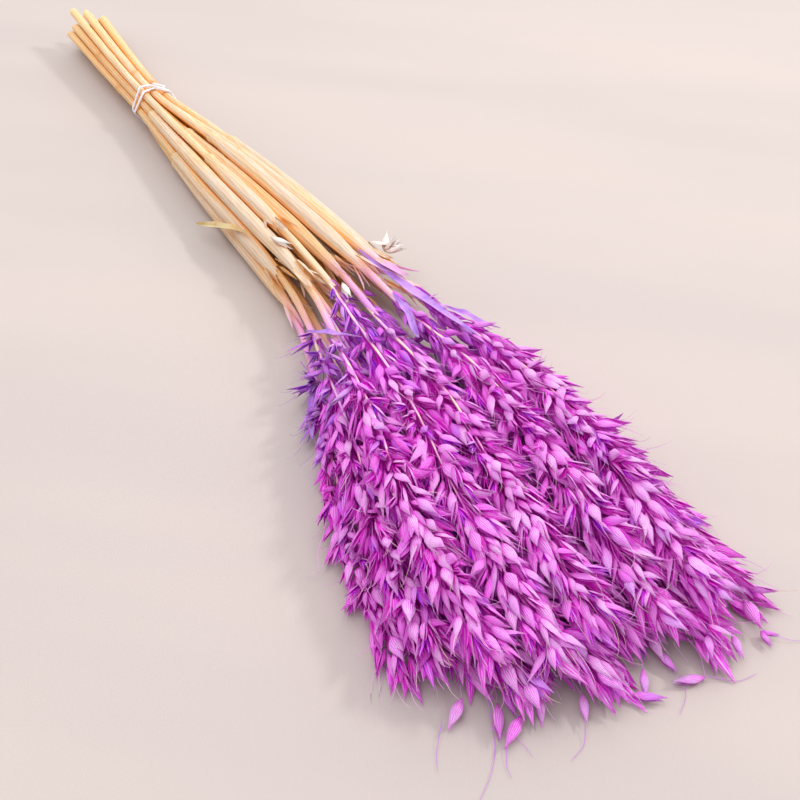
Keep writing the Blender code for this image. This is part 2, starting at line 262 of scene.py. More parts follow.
def lamp(name, side, back, height, size, power, colour):
    """A square light so far to the right, back and up from the bundle's middle, and facing it."""
    data = bpy.data.lights.new(name, "AREA")
    data.size = size
    data.energy = power
    data.color = colour
    made = bpy.data.objects.new(name, data)
    made.location = AIM + RIGHT * side + AWAY * back + Vector((0, 0, height))
    made.rotation_mode = "QUATERNION"
    made.rotation_quaternion = (made.location - AIM).to_track_quat("Z", "Y")
    bpy.context.scene.collection.objects.link(made)


lamp("window", side=1.9, back=0.5, height=1.8, size=0.26, power=27.0, colour=(1.0, 0.96, 0.92))
lamp("diffuser", side=0.6, back=1.1, height=1.1, size=1.3, power=9.0, colour=(1.0, 0.98, 0.96))
lamp("ceiling", side=-0.5, back=0.0, height=1.8, size=1.6, power=20.0, colour=(1.0, 0.98, 0.98))
print("a room, a window, a diffuser and a ceiling")

# %% [markdown]
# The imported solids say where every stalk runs. Their cross-sections stand square to the length of the bundle, so
# the vertices that share an X are one ring, and its middle and half width give the axis and the radius there.

# %% Where the stalks run
FLATNESS = 0.76
OCTAGON = math.cos(math.pi / 8)


def rings_of(node, flatness):
    """(x, y, z, radius) of a node's rings, from X upwards. The height of the middle is counted down from the top,
    because a ring near the table is cut off below."""
    points = np.empty(3 * len(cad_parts[node].data.vertices))
    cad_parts[node].data.vertices.foreach_get("co", points)
    points = points.reshape(-1, 3)
    stations, ring = np.unique(np.round(points[:, 0] / (0.02 * MM)).astype(int), return_inverse=True)
    order = np.argsort(ring, kind="stable")
    starts = np.searchsorted(ring[order], np.arange(len(stations)))
    low = np.minimum.reduceat(points[order], starts)
    high = np.maximum.reduceat(points[order], starts)
    radius = (high[:, 1] - low[:, 1]) / 2 / OCTAGON
    found = np.stack([low[:, 0], (low[:, 1] + high[:, 1]) / 2, high[:, 2] - radius * flatness * OCTAGON, radius], axis=1)
    inside_bore = (found[:, 0] > found[0, 0]) & (found[:, 0] < found[0, 0] + 12 * MM) & (flatness == 1.0)
    return found[~inside_bore]


def through(places, values, at):
    """A smooth curve through (place, value) points, held at its two ends: each span is a cubic whose end slopes
    are those of the chords round them. The values may have several columns."""
    places, values, at = (np.asarray(given, float) for given in (places, values, at))
    slope = np.gradient(values, places, axis=0)
    inside = np.clip(at, places[0], places[-1])
    span = np.clip(np.searchsorted(places, inside, side="right") - 1, 0, len(places) - 2)
    width = places[span + 1] - places[span]
    t = (inside - places[span]) / width
    if values.ndim > 1:
        width, t = width[..., None], t[..., None]
    start = (2 * t**3 - 3 * t**2 + 1) * values[span] + (t**3 - 2 * t**2 + t) * width * slope[span]
    return start + (3 * t**2 - 2 * t**3) * values[span + 1] + (t**3 - t**2) * width * slope[span + 1]


stem_rings = {name: rings_of(f"stem_{name}", 1.0) for name in names}
head_rings = {name: rings_of(f"head_{name}", FLATNESS) for name in names}
print("stem radii", *(np.round([r[:, 3].min() / MM, r[:, 3].max() / MM], 1).tolist() for r in list(stem_rings.values())[:3]))

# %% [markdown]
# Nearly everything on the bundle is long and thin: straws, stalklets, husks and hairs are all closed tubes whose
# cross-section changes on the way. So one set of tools serves them all. Points come as whole arrays, with axes
# for the tube, the ring, the place in the ring and the coordinate, and one call turns them into a mesh.

# %% Tools for tubes
def unit(vectors):
    """The vectors at length one."""
    return vectors / np.maximum(np.linalg.norm(vectors, axis=-1, keepdims=True), 1e-12)


def frames_along(path, facing):
    """(tangent, normal, across) at the points of each path: the tangent is the slope of the path, the normal is
    what is left of the facing direction square to it, and across is their cross product."""
    tangent = unit(np.gradient(path, axis=-2))
    normal = unit(facing - (facing * tangent).sum(-1, keepdims=True) * tangent)
    return tangent, normal, np.cross(tangent, normal)


def tubes(path, radius, sides, facing=(0.0, 0.0, 1.0), flat=1.0, start_angle=0.0):
    """Rings round each path: middle + radius (cos a normal * flat + sin a across), for even angles a."""
    _, normal, across = frames_along(path, np.broadcast_to(np.asarray(facing, float), path.shape))
    angle = start_angle + np.arange(sides) * 2 * math.pi / sides
    cosine, sine = (np.asarray(radius)[..., None, None] * f(angle)[:, None] for f in (np.cos, np.sin))
    return path[..., None, :] + cosine * flat * normal[..., None, :] + sine * across[..., None, :]


def shells(rings, finish_number, tint, along=None, around=None):
    """The faces, UV corners and tint of closed tubes given as rings (tube, ring, side, xyz): a wall of quads and
    a cap on each end. U runs along the tube and V round it. The tint is one for each tube, or one for each ring."""
    count, stations, sides, _ = rings.shape
    along = np.linspace(0, 1, stations) if along is None else along
    around = np.arange(sides + 1) / sides if around is None else np.asarray(around, float)
    first = (np.arange(count) * stations * sides)[:, None, None]
    station, side = np.meshgrid(np.arange(stations - 1), np.arange(sides), indexing="ij")
    following = (side + 1) % sides
    near, far = station * sides, (station + 1) * sides
    walls = np.stack([near + side, near + following, far + following, far + side], axis=-1)[None] + first[..., None]
    u = np.stack([along[station], along[station], along[station + 1], along[station + 1]], axis=-1)
    v = np.stack([around[side], around[side + 1], around[side + 1], around[side]], axis=-1)
    wall_uv = np.broadcast_to(np.stack([u, v], axis=-1)[None], (*walls.shape, 2))
    caps = np.stack([np.arange(sides)[::-1], (stations - 1) * sides + np.arange(sides)])[None] + first
    cap_u = np.repeat(along[[0, -1]], sides).reshape(2, sides)
    cap_v = np.stack([around[:-1][::-1], around[:-1]])
    cap_uv = np.broadcast_to(np.stack([cap_u, cap_v], axis=-1)[None], (*caps.shape, 2))
    tint = np.asarray(tint, float)
    tint = np.broadcast_to(tint.reshape(*tint.shape[:-1], *(1,) * (4 - tint.ndim), 3), rings.shape)
    return {
        "points": rings.reshape(-1, 3),
        "faces": [walls.reshape(-1, 4), caps.reshape(-1, sides)],
        "uv": [wall_uv.reshape(-1, 4, 2), cap_uv.reshape(-1, sides, 2)],
        "tint": tint.reshape(-1, 3),
        "finish": finish_number,
    }


def piece(name, parts, finishes, slot, *nodes):
    """One mesh object out of several sets of shells. It rides with the bundle and stands for the CAD nodes."""
    offsets = np.cumsum([0] + [len(part["points"]) for part in parts])
    blocks = [(face + offset, uv, part["finish"]) for part, offset in zip(parts, offsets) for face, uv in zip(part["faces"], part["uv"])]
    sizes = np.concatenate([np.full(len(face), face.shape[1]) for face, _, _ in blocks])
    mesh = bpy.data.meshes.new(name)
    mesh.vertices.add(offsets[-1])
    mesh.vertices.foreach_set("co", np.concatenate([part["points"] for part in parts]).ravel())
    mesh.loops.add(int(sizes.sum()))
    mesh.loops.foreach_set("vertex_index", np.concatenate([face.ravel() for face, _, _ in blocks]).astype(np.int32))
    mesh.polygons.add(len(sizes))
    mesh.polygons.foreach_set("loop_start", np.concatenate([[0], np.cumsum(sizes)[:-1]]).astype(np.int32))
    mesh.polygons.foreach_set("material_index", np.concatenate([np.full(len(face), number) for face, _, number in blocks]).astype(np.int32))
    mesh.update(calc_edges=True)
    mesh.uv_layers.new(name="grain").data.foreach_set("uv", np.concatenate([uv.reshape(-1, 2) for _, uv, _ in blocks]).ravel())
    tint = mesh.attributes.new("tint", "FLOAT_COLOR", "POINT")
    shade = np.concatenate([part["tint"] for part in parts])
    tint.data.foreach_set("color", np.concatenate([shade, np.ones((len(shade), 1))], axis=1).ravel())
    for colouring in finishes:
        mesh.materials.append(colouring)
    mesh.shade_smooth()
    mesh.set_sharp_from_angle(angle=math.radians(62))
    mesh.validate()
    made = bpy.data.objects.new(name, mesh)
    bpy.context.scene.collection.objects.link(made)
    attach(made, "root")
    if nodes:
        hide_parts(*nodes)
    return made


def triangles_in(*objects):
    """How many triangles the faces come to."""
    return sum(len(made.data.loops) - 2 * len(made.data.polygons) for made in objects)


print("tube tools are ready")

# %% [markdown]
# Husks, leaves and straws all have fine veins that run along them. A node group draws them once for all: a wave across
# V makes the lines, noise stretched along the piece breaks them up, and a second output says how far the point is from
# the middle line.

# %% Shared effect: veins
def vein_group():
    """Lines = 0.5 + 0.5 sin(2 pi Count V) with a wavering phase. Edge = how near V is to 0 or 1."""
    group = bpy.data.node_groups.new("fine_veins", "ShaderNodeTree")
    group.interface.new_socket("Count", in_out="INPUT", socket_type="NodeSocketFloat").default_value = 7.0
    group.interface.new_socket("Waver", in_out="INPUT", socket_type="NodeSocketFloat").default_value = 0.1
    group.interface.new_socket("Lines", in_out="OUTPUT", socket_type="NodeSocketFloat")
    group.interface.new_socket("Edge", in_out="OUTPUT", socket_type="NodeSocketFloat")
    given = group.nodes.new("NodeGroupInput")
    out = group.nodes.new("NodeGroupOutput")
    place, (u, v, _) = place_on(group, "UV")
    spot, _ = place_on(group, "Object")
    drift = sum_of(group, "MULTIPLY", cloudy(group, spot, 160.0), given.outputs["Waver"])
    phase = sum_of(group, "MULTIPLY", sum_of(group, "ADD", v, drift), sum_of(group, "MULTIPLY", given.outputs["Count"], 2 * math.pi))
    lines = sum_of(group, "MULTIPLY_ADD", sum_of(group, "SINE", phase), 0.5, 0.5)
    edge = sum_of(group, "MULTIPLY", sum_of(group, "ABSOLUTE", sum_of(group, "SUBTRACT", v, 0.5)), 2.0)
    group.links.new(lines, out.inputs["Lines"])
    group.links.new(edge, out.inputs["Edge"])
    return group


VEINS = vein_group()


def veined(tree, count, waver):
    """The Lines and Edge outputs of the vein group, placed in a material with its own values."""
    node = tree.nodes.new("ShaderNodeGroup")
    node.node_tree = VEINS
    node.inputs["Count"].default_value = count
    node.inputs["Waver"].default_value = waver
    return node.outputs["Lines"], node.outputs["Edge"]


def tinted(tree):
    """The three numbers of the tint attribute that each mesh carries."""
    node = tree.nodes.new("ShaderNodeAttribute")
    node.attribute_name = "tint"
    split = tree.nodes.new("ShaderNodeSeparateColor")
    tree.links.new(node.outputs["Color"], split.inputs[0])
    return split.outputs[0], split.outputs[1], split.outputs[2]


print("veins:", len(VEINS.nodes), "nodes")

# %% [markdown]
# A straw is a hollow grass stem, golden where it was cut and cream above. The dye has crept up from the heads, so
# it turns pink and then violet towards them. Round its upper half sits the sheath of a leaf, a paler papery
# sleeve. Both have the same colours in different shares, mixed by Object X, which runs along the bundle.

# %% Straw and sheath finishes
def straw_finish(name, golden, pale, rib_count, roughness, depth, reach):
    """Dry straw: gold to cream to violet along X, ribs by the vein group, long stains, fine fibres, dark knuckles,
    deeper gold on straws with less light and golden orange in the gaps between straws, both painted shade.
    """
    made, tree, shader = finish(name, roughness=roughness, gloss=0.3, glow_through=0.6, glow_reach=reach)
    put(tree, (1.0, 0.97, 0.92), shader.inputs["Subsurface Radius"])
    place, (x, y, z) = place_on(tree)
    light, shift, knuckle = tinted(tree)
    lines, edge = veined(tree, rib_count, 0.05)
    _, (u, v, _) = place_on(tree, "UV")
    along = sum_of(tree, "MULTIPLY_ADD", sum_of(tree, "SUBTRACT", shift, 0.5), 0.05, x)
    stain = cloudy(tree, stretched(tree, place, 0.0, (11.0, 1.0, 1.0)), 150.0, 3.0)
    fibre = cloudy(tree, stretched(tree, place, 0.0, (22.0, 1.0, 1.0)), 1100.0)
    colour = blended(tree, fitted(tree, along, -0.31, -0.19), golden, pale)
    colour = blended(tree, fitted(tree, stain, 0.46, 0.68, 0.0, 0.85), colour, golden)
    # Painted shade mixed with chance: straws with less light, mostly those of the lower layers, turn towards deep gold.
    colour = blended(tree, fitted(tree, light, 0.1, 0.9, 0.75, 0.0), colour, srgb(246, 206, 128), "MULTIPLY")
    colour = blended(tree, fitted(tree, fibre, 0.35, 0.6, 0.45, 0.0), colour, srgb(236, 196, 130), "MULTIPLY")
    # Painted shade: where straws crowd each other, the colour turns golden orange, standing in for light that shines
    # through them into the gaps.
    colour = blended(tree, fitted(tree, openness(tree, 0.014), 0.16, 0.66, 0.95, 0.0), colour, srgb(255, 176, 62))
    colour = blended(tree, fitted(tree, u, 0.0, 0.16, 0.8, 0.0), colour, golden)
    patchy = fitted(tree, cloudy(tree, place, 70.0), 0.3, 0.6, 0.45, 1.0)
    pink = sum_of(tree, "MULTIPLY", fitted(tree, along, 0.018, 0.06, 0.0, 0.72), patchy)
    violet = sum_of(tree, "MULTIPLY", fitted(tree, along, 0.036, 0.092, 0.0, 0.75), patchy)
    colour = blended(tree, pink, colour, srgb(232, 158, 214))
    colour = blended(tree, violet, colour, srgb(188, 98, 218))
    colour = blended(tree, sum_of(tree, "MULTIPLY", lines, 0.26), colour, srgb(232, 218, 204))
    colour = blended(tree, sum_of(tree, "MULTIPLY", knuckle, 0.75), colour, srgb(196, 140, 76))
    put(tree, colour, shader.inputs["Base Color"])
    put(tree, fitted(tree, stain, 0.2, 0.8, roughness - 0.08, roughness + 0.12), shader.inputs["Roughness"])
    height = sum_of(tree, "MULTIPLY_ADD", fibre, 0.7, sum_of(tree, "MULTIPLY", lines, 0.5))
    bumped(tree, height, 0.7, depth, shader)
    return made


STRAW = straw_finish("dry_straw", srgb(222, 187, 131), srgb(208, 189, 158), 9.0, 0.5, 0.00018, 0.003)
SHEATH = straw_finish("leaf_sheath", srgb(214, 179, 127), srgb(201, 185, 166), 11.0, 0.6, 0.00024, 0.0007)
print("straw finishes:", STRAW.name, "and", SHEATH.name)

# %% [markdown]
# Each straw is one tube that follows its solid's axis. It starts inside the bore at the cut end, turns over the
# rim and runs up to the head, with a swollen knuckle or two on the way. From a knuckle grows a leaf sheath: a
# second tube that leaves the straw gently, opens in a ragged slanting mouth and comes back down inside, so that
# it has a real wall. Dry strips of torn leaf stand off the mouth.

# %% Straws
BORE = 1.5 * MM
BORE_DEPTH = 9 * MM
UP = np.array([0.0, 0.0, 1.0])
SIDEWAYS = np.array([0.0, -1.0, 0.0])


def axis_at(rings, x):
    """The middle (x, y, z) of a stalk at the stations x."""
    return np.concatenate([np.asarray(x)[..., None], through(rings[:, 0], rings[:, 1:3], x)], axis=-1)


def culm_radius(rings, x, knuckles):
    """The radius of the bare straw: the solid's, but no more than a line that falls from 2.9 mm to 1.8 mm along
    the bundle, times 1 + 0.2 exp(-(distance from a knuckle / 2.4 mm)^2)."""
    bare = np.minimum(through(rings[:, 0], rings[:, 3], x), 2.9 * MM - 1.1 * MM * np.clip((x + 0.13) / 0.17, 0, 1))
    bumps = np.exp(-(((x[..., None] - knuckles) / (2.4 * MM)) ** 2)).max(axis=-1)
    return bare * (1 + 0.2 * bumps), bumps


def straw_tube(rings, last, knuckles, cut, turn):
    """Rings of bore, rim and wall, and how much of a knuckle each ring is. The rim is cut slanting: a point at
    the angle a lies cut cos(a - turn) further on, which fades out over 14 mm."""
    stations = np.sort(np.concatenate([np.linspace(rings[0, 0], last, 60), knuckles, knuckles - 2 * MM, knuckles + 2 * MM]))
    radius, bumps = culm_radius(rings, stations, knuckles)
    x = np.concatenate([[stations[0] + BORE_DEPTH, stations[0]], stations])
    radius = np.concatenate([[BORE, BORE], radius])
    angle = np.arange(14) * 2 * math.pi / 14
    ring = np.cos(angle)[:, None] * UP + np.sin(angle)[:, None] * SIDEWAYS
    tube = axis_at(rings, x)[:, None] + radius[:, None, None] * ring
    fading = 1 - np.clip((x - stations[0]) / (14 * MM), 0, 1)
    tube[..., 0] += cut * fading[:, None] * np.cos(angle - turn)
    return tube[None], np.concatenate([[0, 0], bumps])


def sheath_tube(rings, start, end, turn, flare, slant, knuckles):
    """The sleeve. With s the share of its length, its radius goes from the straw's to the solid's in the first
    0.09, comes back to the straw near the mouth, is a little oval, and opens there by flare. The mouth's edge is end + slant cos(a - turn) + rags,
    and three more rings run back down inside."""
    angle = np.arange(20) * 2 * math.pi / 20
    out = np.concatenate([[0.0, 0.012, 0.03, 0.06, 0.09], np.linspace(0.13, 1.0, 26)])
    share = np.concatenate([out, [0.99, 0.96, 0.9]])
    rags = slant * np.cos(angle - turn) + chance.uniform(-2.6, 2.6, 20) * MM
    x = start + share[:, None] * (end - start) + rags * share[:, None] ** 9
    culm, _ = culm_radius(rings, x, knuckles)
    grown_out = np.clip(share / 0.09, 0, 1)[:, None]
    closing = 1 - 0.75 * np.clip((share - 0.72) / 0.28, 0, 1)[:, None] ** 1.5
    wall = culm + 0.12 * MM + (through(rings[:, 0], rings[:, 3], x) - culm).clip(0.25 * MM) * grown_out**0.7 * closing
    widen = flare * np.clip((share - 0.84) / 0.16, 0, 1)[:, None] ** 2 * (0.6 + 0.4 * np.cos(angle - turn))
    ridges = 0.035 * np.cos(2 * (angle - turn) + 9 * share[:, None]) + 0.025 * np.cos(5 * angle + 4 * share[:, None])
    wall = wall * (1 + widen + ridges * grown_out)
    wall[len(out):] -= np.array([0.25, 0.35, 0.5])[:, None] * MM
    ring = np.cos(angle)[:, None] * UP + np.sin(angle)[:, None] * SIDEWAYS
    return (axis_at(rings, x) + wall[..., None] * ring)[None]


STRIP_STEPS = np.linspace(0, 1, 9)


def strips(foot, ahead, back, length, width, bend, twist):
    """Rings (strip, step, 8, xyz) of dry leaf strips. With t the share of the length, the strip is
    width (1 - t^2.4) wide and 0.14 mm thick, it is folded into a shallow V, its middle line bends out along the
    back by bend t^2 and it turns about itself by twist t."""
    t = STRIP_STEPS[None, :, None]
    across = np.array([-1.0, -0.5, 0.0, 0.5, 1.0, 0.5, 0.0, -0.5])
    layer = np.array([0.0, 1.0, 1.0, 1.0, 0.0, -1.0, -1.0, -1.0])
    length, width, bend, twist = (value[:, None, None] for value in (length, width, bend, twist))
    half = width * (1 - t**2.4) * (0.6 + 0.4 * np.minimum(t / 0.25, 1)) + 0.05 * MM
    side = half * across
    out = 0.4 * half * np.abs(across) + 0.14 * MM * layer
    angle = twist * t
    side, out = side * np.cos(angle) - out * np.sin(angle), side * np.sin(angle) + out * np.cos(angle)
    out = out + bend * length * t**2
    turned = np.cross(ahead, back)
    return (
        foot[:, None, None] + (length * t + 0 * across)[..., None] * ahead[:, None, None]
        + out[..., None] * back[:, None, None] + side[..., None] * turned[:, None, None]
    )


def torn_strips(rings, end, count):
    """Strips that stand off a sheath's mouth: they start on its wall and lean out a little."""
    angle = chance.uniform(-1.9, 1.9, count)
    back = np.cos(angle)[:, None] * UP + np.sin(angle)[:, None] * SIDEWAYS
    x = end - chance.uniform(3, 14, count) * MM
    foot = axis_at(rings, x) + back * (through(rings[:, 0], rings[:, 3], x) + 0.1 * MM)[:, None]
    tangent = unit(axis_at(rings, x + 5 * MM) - axis_at(rings, x))
    ahead = unit(tangent + back * chance.uniform(0.02, 0.2, count)[:, None])
    back = unit(back - (back * ahead).sum(1, keepdims=True) * ahead)
    length, width = chance.uniform(9, 28, count) * MM, chance.uniform(0.8, 1.8, count) * MM
    return strips(foot, ahead, back, length, width, chance.uniform(0.0, 0.22, count), chance.uniform(-1.2, 1.2, count))


straws = []
for name in names:
    rings = stem_rings[name]
    head_start = head_rings[name][0, 0]
    # Light is chance times a share by layer, less for lower layers, which the straw finish paints as deeper gold:
    # painted shade.
    light, shift = chance.uniform(0.1, 0.95) * {"top": 1.0, "mid": 0.8, "low": 0.5}[name[:3]], chance.uniform(0.2, 0.8)
    wide = rings[(rings[:, 0] > -0.2) & (rings[:, 3] > 2.75 * MM)]
    start = wide[0, 0] - 3 * MM if len(wide) else -0.11
    end = head_start - chance.uniform(18, 60) * MM
    knuckles = np.array([start + 1 * MM, start - chance.uniform(70, 110) * MM])
    cut = chance.uniform(0.3, 3.2) * MM
    tube, bumps = straw_tube(rings, head_start + 6 * MM, knuckles, cut, chance.uniform(0, 2 * math.pi))
    tint = np.stack([np.full(len(bumps), light), np.full(len(bumps), shift), bumps], axis=1)[None]
    culm = shells(tube, 0, tint)
    slant = chance.choice([3, 7, 14]) * MM
    sleeve = sheath_tube(rings, start, end, chance.uniform(0, 2 * math.pi), chance.uniform(0.0, 0.22), slant, knuckles)
    sleeve = shells(sleeve, 1, np.array([[min(1.0, light + chance.uniform(0.1, 0.5)), shift, 0.0]]))
    torn = shells(torn_strips(rings, end, 5), 1, np.array([[chance.uniform(0.7, 1.0), shift, 0.0]]))
    for part in (culm, sleeve, torn):
        part["points"][:, 2] = np.maximum(part["points"][:, 2], 0.15 * MM)
    straws.append(piece(f"straw_{name}", [culm, sleeve, torn], [STRAW, SHEATH], "straw", f"stem_{name}"))
print(len(straws), "straws,", triangles_in(*straws), "triangles")

# %% [markdown]
# The elastic band is a thin white cord wound twice, with one turn crossing over the other on top. A string pulled
# tight round a bunch of straws goes as far in each direction as the furthest straw does, so the path is the
# support line of all the straws where the band sits, and it needs no guessing.

# %% Elastic band
BAND_LOW, BAND_HIGH = (np.array(corner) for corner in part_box("elastic_band"))
BAND_MIDDLE = (BAND_LOW + BAND_HIGH) / 2
CORD = 0.62 * MM


def elastic_finish():
    """White rubber cord: faintly violet, matt, with a fine ribbed skin across the cord."""
    made, tree, shader = finish("white_elastic", roughness=0.55, glow_through=0.3, glow_reach=0.002)
    place, _ = place_on(tree)
    _, (u, v, _) = place_on(tree, "UV")
    tone = blended(tree, cloudy(tree, place, 260.0), srgb(222, 214, 232), srgb(246, 243, 247))
    put(tree, tone, shader.inputs["Base Color"])
    ribs = sum_of(tree, "MULTIPLY_ADD", sum_of(tree, "SINE", sum_of(tree, "MULTIPLY", u, 900.0)), 0.5, 0.5)
    put(tree, fitted(tree, ribs, 0.0, 1.0, 0.5, 0.65), shader.inputs["Roughness"])
    bumped(tree, ribs, 0.4, 0.00006, shader)
    return made


def band_path(sway, lift):
    """A tight path round the straws: in the direction a it reaches the most that any straw's middle plus radius
    does, softened by averaging over neighbours, and it sways along the bundle by sway sin(a - 0.6)."""
    angle = np.linspace(0, 2 * math.pi, 150)
    outward = np.stack([np.cos(angle), np.sin(angle)], axis=1)
    here = np.array([axis_at(stem_rings[name], np.array([BAND_MIDDLE[0]]))[0] for name in names])
    thick = np.array([np.interp(BAND_MIDDLE[0], stem_rings[name][:, 0], stem_rings[name][:, 3]) for name in names])
    offset = here[:, 1:] - here[:, 1:].mean(axis=0)
    reach = offset @ outward.T + thick[:, None]
    weight = np.exp((reach - reach.max(axis=0)) / (0.12 * MM))
    touched = (weight / weight.sum(axis=0)).T @ offset
    sticking = reach.max(axis=0) + CORD + lift(angle) - (touched * outward).sum(axis=1)
    flat = touched + outward * sticking[:, None]
    wrapped = np.concatenate([flat[-6:-1], flat, flat[1:6]])
    flat = sum(wrapped[k : k + len(flat)] for k in range(11)) / 11 + here[:, 1:].mean(axis=0)
    x = BAND_MIDDLE[0] + sway * np.sin(angle - 0.6) + 0.5 * MM * np.sin(3 * angle)
    return np.concatenate([x[:, None], flat], axis=1)


top_crossing = math.pi / 2 + 0.35
first = band_path(1.5 * MM, lambda a: 0 * a)
second = band_path(-2.4 * MM, lambda a: 1.5 * MM * np.exp(-(((a - top_crossing) / 0.5) ** 2)) + 0.4 * MM)
third = band_path(3.2 * MM, lambda a: 0.9 * MM * (0.5 + 0.5 * np.cos(a - top_crossing)))
turns = []
for path in (first, second, third):
    ring = tubes(path[None], np.full((1, len(path)), CORD), 8, facing=(1.0, 0.0, 0.0))
    ring[:, -1] = ring[:, 0]
    turns.append(ring)
tail = BAND_HIGH[2] + 0.4 * MM
loop = through([0, 1, 2, 3, 4, 5], np.array([
    [-2.0, 1.5, -0.6], [3.5, 3.4, 0.5], [7.0, 5.6, 0.6], [8.0, 2.4, 0.8], [4.4, 0.6, 0.9], [-1.0, -1.2, -0.4],
]) * MM + np.array([BAND_MIDDLE[0], BAND_MIDDLE[1], tail]), np.linspace(0, 5, 40))
turns.append(tubes(loop[None], np.full((1, 40), 0.9 * CORD), 8))
parts = [shells(ring, 0, np.array([[0.8, 0.1, 0.1]])) for ring in turns]
for part in parts:
    part["points"][:, 2] = np.maximum(part["points"][:, 2], 0.2 * MM)
band = piece("wound_band", parts, [elastic_finish()], "elastic", "elastic_band")
print("band of", len(parts), "cords,", triangles_in(band), "triangles")

# %% [markdown]
# An oat spikelet hangs from a thread-like stalklet. Two papery boat-shaped husks, the glumes, stand face to face round
# narrow florets, and both run out to a long point. The dye leaves the husks lilac where they are thick, violet or
# magenta where it gathered. Over that the finishes paint light and shade: bright husks are paler, and dim husks,
# covered feet and deep gaps are darker and more magenta. One finish serves all husks, and the tint attribute says how
# each was dyed and how much painted light and shade it gets.

# %% Husk, floret and stalklet finishes
def husk_finish(name, lilac, pink, violet, shaded_foot_colour, blotch_and_shade_colour, vein_colour, gap_shades, vein_count, vein_depth):
    """Papery husk. Tint holds lightness, violet share and pink share; the lightness is partly chance and partly painted
    light and shade, and it pales bright husks and darkens dim ones. Paler veins with darker furrows between them run
    along, the foot is deeper in colour as painted shade where other husks cover it, blotches of stronger dye lie over
    it all, and deep gaps turn dark magenta or violet as painted shade."""
    made, tree, shader = finish(name, roughness=0.5, gloss=0.12, glow_through=0.35, glow_reach=0.0006)
    put(tree, (1.0, 0.8, 1.0), shader.inputs["Subsurface Radius"])
    light, violet_share, pink_share = tinted(tree)
    gap_shade_colour, gap_shade_violet = gap_shades
    place, _ = place_on(tree)
    _, (u, v, _) = place_on(tree, "UV")
    lines, edge = veined(tree, vein_count, 0.03)
    colour = blended(tree, pink_share, lilac, pink)
    colour = blended(tree, violet_share, colour, violet)
    # Bright husks, partly by chance and partly as painted light, turn towards the pale vein colour.
    colour = blended(tree, fitted(tree, light, 0.62, 1.0, 0.0, 0.55), colour, vein_colour)
    spots = cloudy(tree, place, 210.0)
    colour = blended(tree, fitted(tree, spots, 0.44, 0.72, 0.0, 0.42), colour, blotch_and_shade_colour)
    # Dim husks, partly by chance and partly as painted shade, turn towards the blotch colour.
    colour = blended(tree, fitted(tree, light, 0.0, 0.55, 0.7, 0.0), colour, blotch_and_shade_colour)
    # Painted shade: the foot, which other husks cover, turns to the darker foot colour.
    colour = blended(tree, fitted(tree, u, 0.05, 0.62, 0.85, 0.0), colour, shaded_foot_colour)
    colour = blended(tree, fitted(tree, lines, 0.4, 0.95, 0.0, 0.5), colour, vein_colour)
    colour = blended(tree, fitted(tree, lines, 0.0, 0.35, 0.62, 0.0), colour, blotch_and_shade_colour)
    # Painted shade: deep gaps between husks turn dark magenta, or dark violet on violet husks.
    deep = blended(tree, violet_share, gap_shade_colour, gap_shade_violet)
    colour = blended(tree, fitted(tree, openness(tree, 0.007), 0.08, 0.62, 0.96, 0.0), colour, deep)
    # Painted light and shade: the lightness also raises the brightness of bright husks a little.
    shade = tree.nodes.new("ShaderNodeHueSaturation")
    put(tree, fitted(tree, light, 0.0, 1.0, 1.0, 1.08), shade.inputs["Value"])
    put(tree, colour, shade.inputs["Color"])
    put(tree, shade.outputs["Color"], shader.inputs["Base Color"])
    put(tree, fitted(tree, spots, 0.3, 0.7, 0.48, 0.68), shader.inputs["Roughness"])
    bumped(tree, lines, 0.85, vein_depth, shader)
    return made


# Foot, blotch, vein and the two gap colours. The foot and gap colours are painted shade, and the blotch colour also
# serves as painted shade for dim husks.
DYE_AND_SHADE = srgb(238, 12, 220), srgb(234, 52, 228), srgb(226, 204, 231), (srgb(252, 0, 230), srgb(172, 10, 246))
HUSK = husk_finish("dyed_husk", srgb(218, 170, 228), srgb(232, 78, 220), srgb(162, 92, 244), *DYE_AND_SHADE, 8.0, 0.0003)
FLORET = husk_finish("dyed_floret", srgb(218, 124, 236), srgb(224, 58, 216), srgb(126, 58, 238), *DYE_AND_SHADE, 3.0, 0.00014)
PAPER = husk_finish(
    "papery_husk", srgb(232, 228, 222), srgb(228, 214, 214), srgb(214, 196, 226),
    srgb(206, 180, 160), srgb(232, 220, 208), srgb(244, 240, 238), (srgb(214, 180, 168), srgb(206, 170, 190)), 7.0, 0.0003,
)


def stalklet_finish():
    """Thin stalklets, rachis and hairs: pale pinkish straw that took the dye unevenly, turning dark magenta in the deep
    gaps of a head as painted shade.
    """
    made, tree, shader = finish("stalklet", roughness=0.5, gloss=0.4)
    light, violet_share, pink_share = tinted(tree)
    place, _ = place_on(tree)
    bare = fitted(tree, cloudy(tree, place, 90.0), 0.36, 0.6, 0.0, 0.85)
    bare = sum_of(tree, "MULTIPLY", bare, fitted(tree, pink_share, 0.02, 0.16, 1.0, 0.0))
    colour = blended(tree, pink_share, srgb(236, 186, 238), srgb(230, 40, 210))
    colour = blended(tree, violet_share, colour, srgb(160, 84, 226))
    colour = blended(tree, bare, colour, srgb(232, 212, 172))
    # Painted shade: in the deep gaps of a head the stalklets turn dark magenta.
    colour = blended(tree, fitted(tree, openness(tree, 0.006), 0.2, 0.85, 1.0, 0.0), colour, srgb(224, 10, 206))
    put(tree, colour, shader.inputs["Base Color"])
    bumped(tree, cloudy(tree, place, 1500.0), 0.4, 0.00008, shader)
    return made


STALKLET = stalklet_finish()
print("finishes:", HUSK.name, FLORET.name, PAPER.name, STALKLET.name)

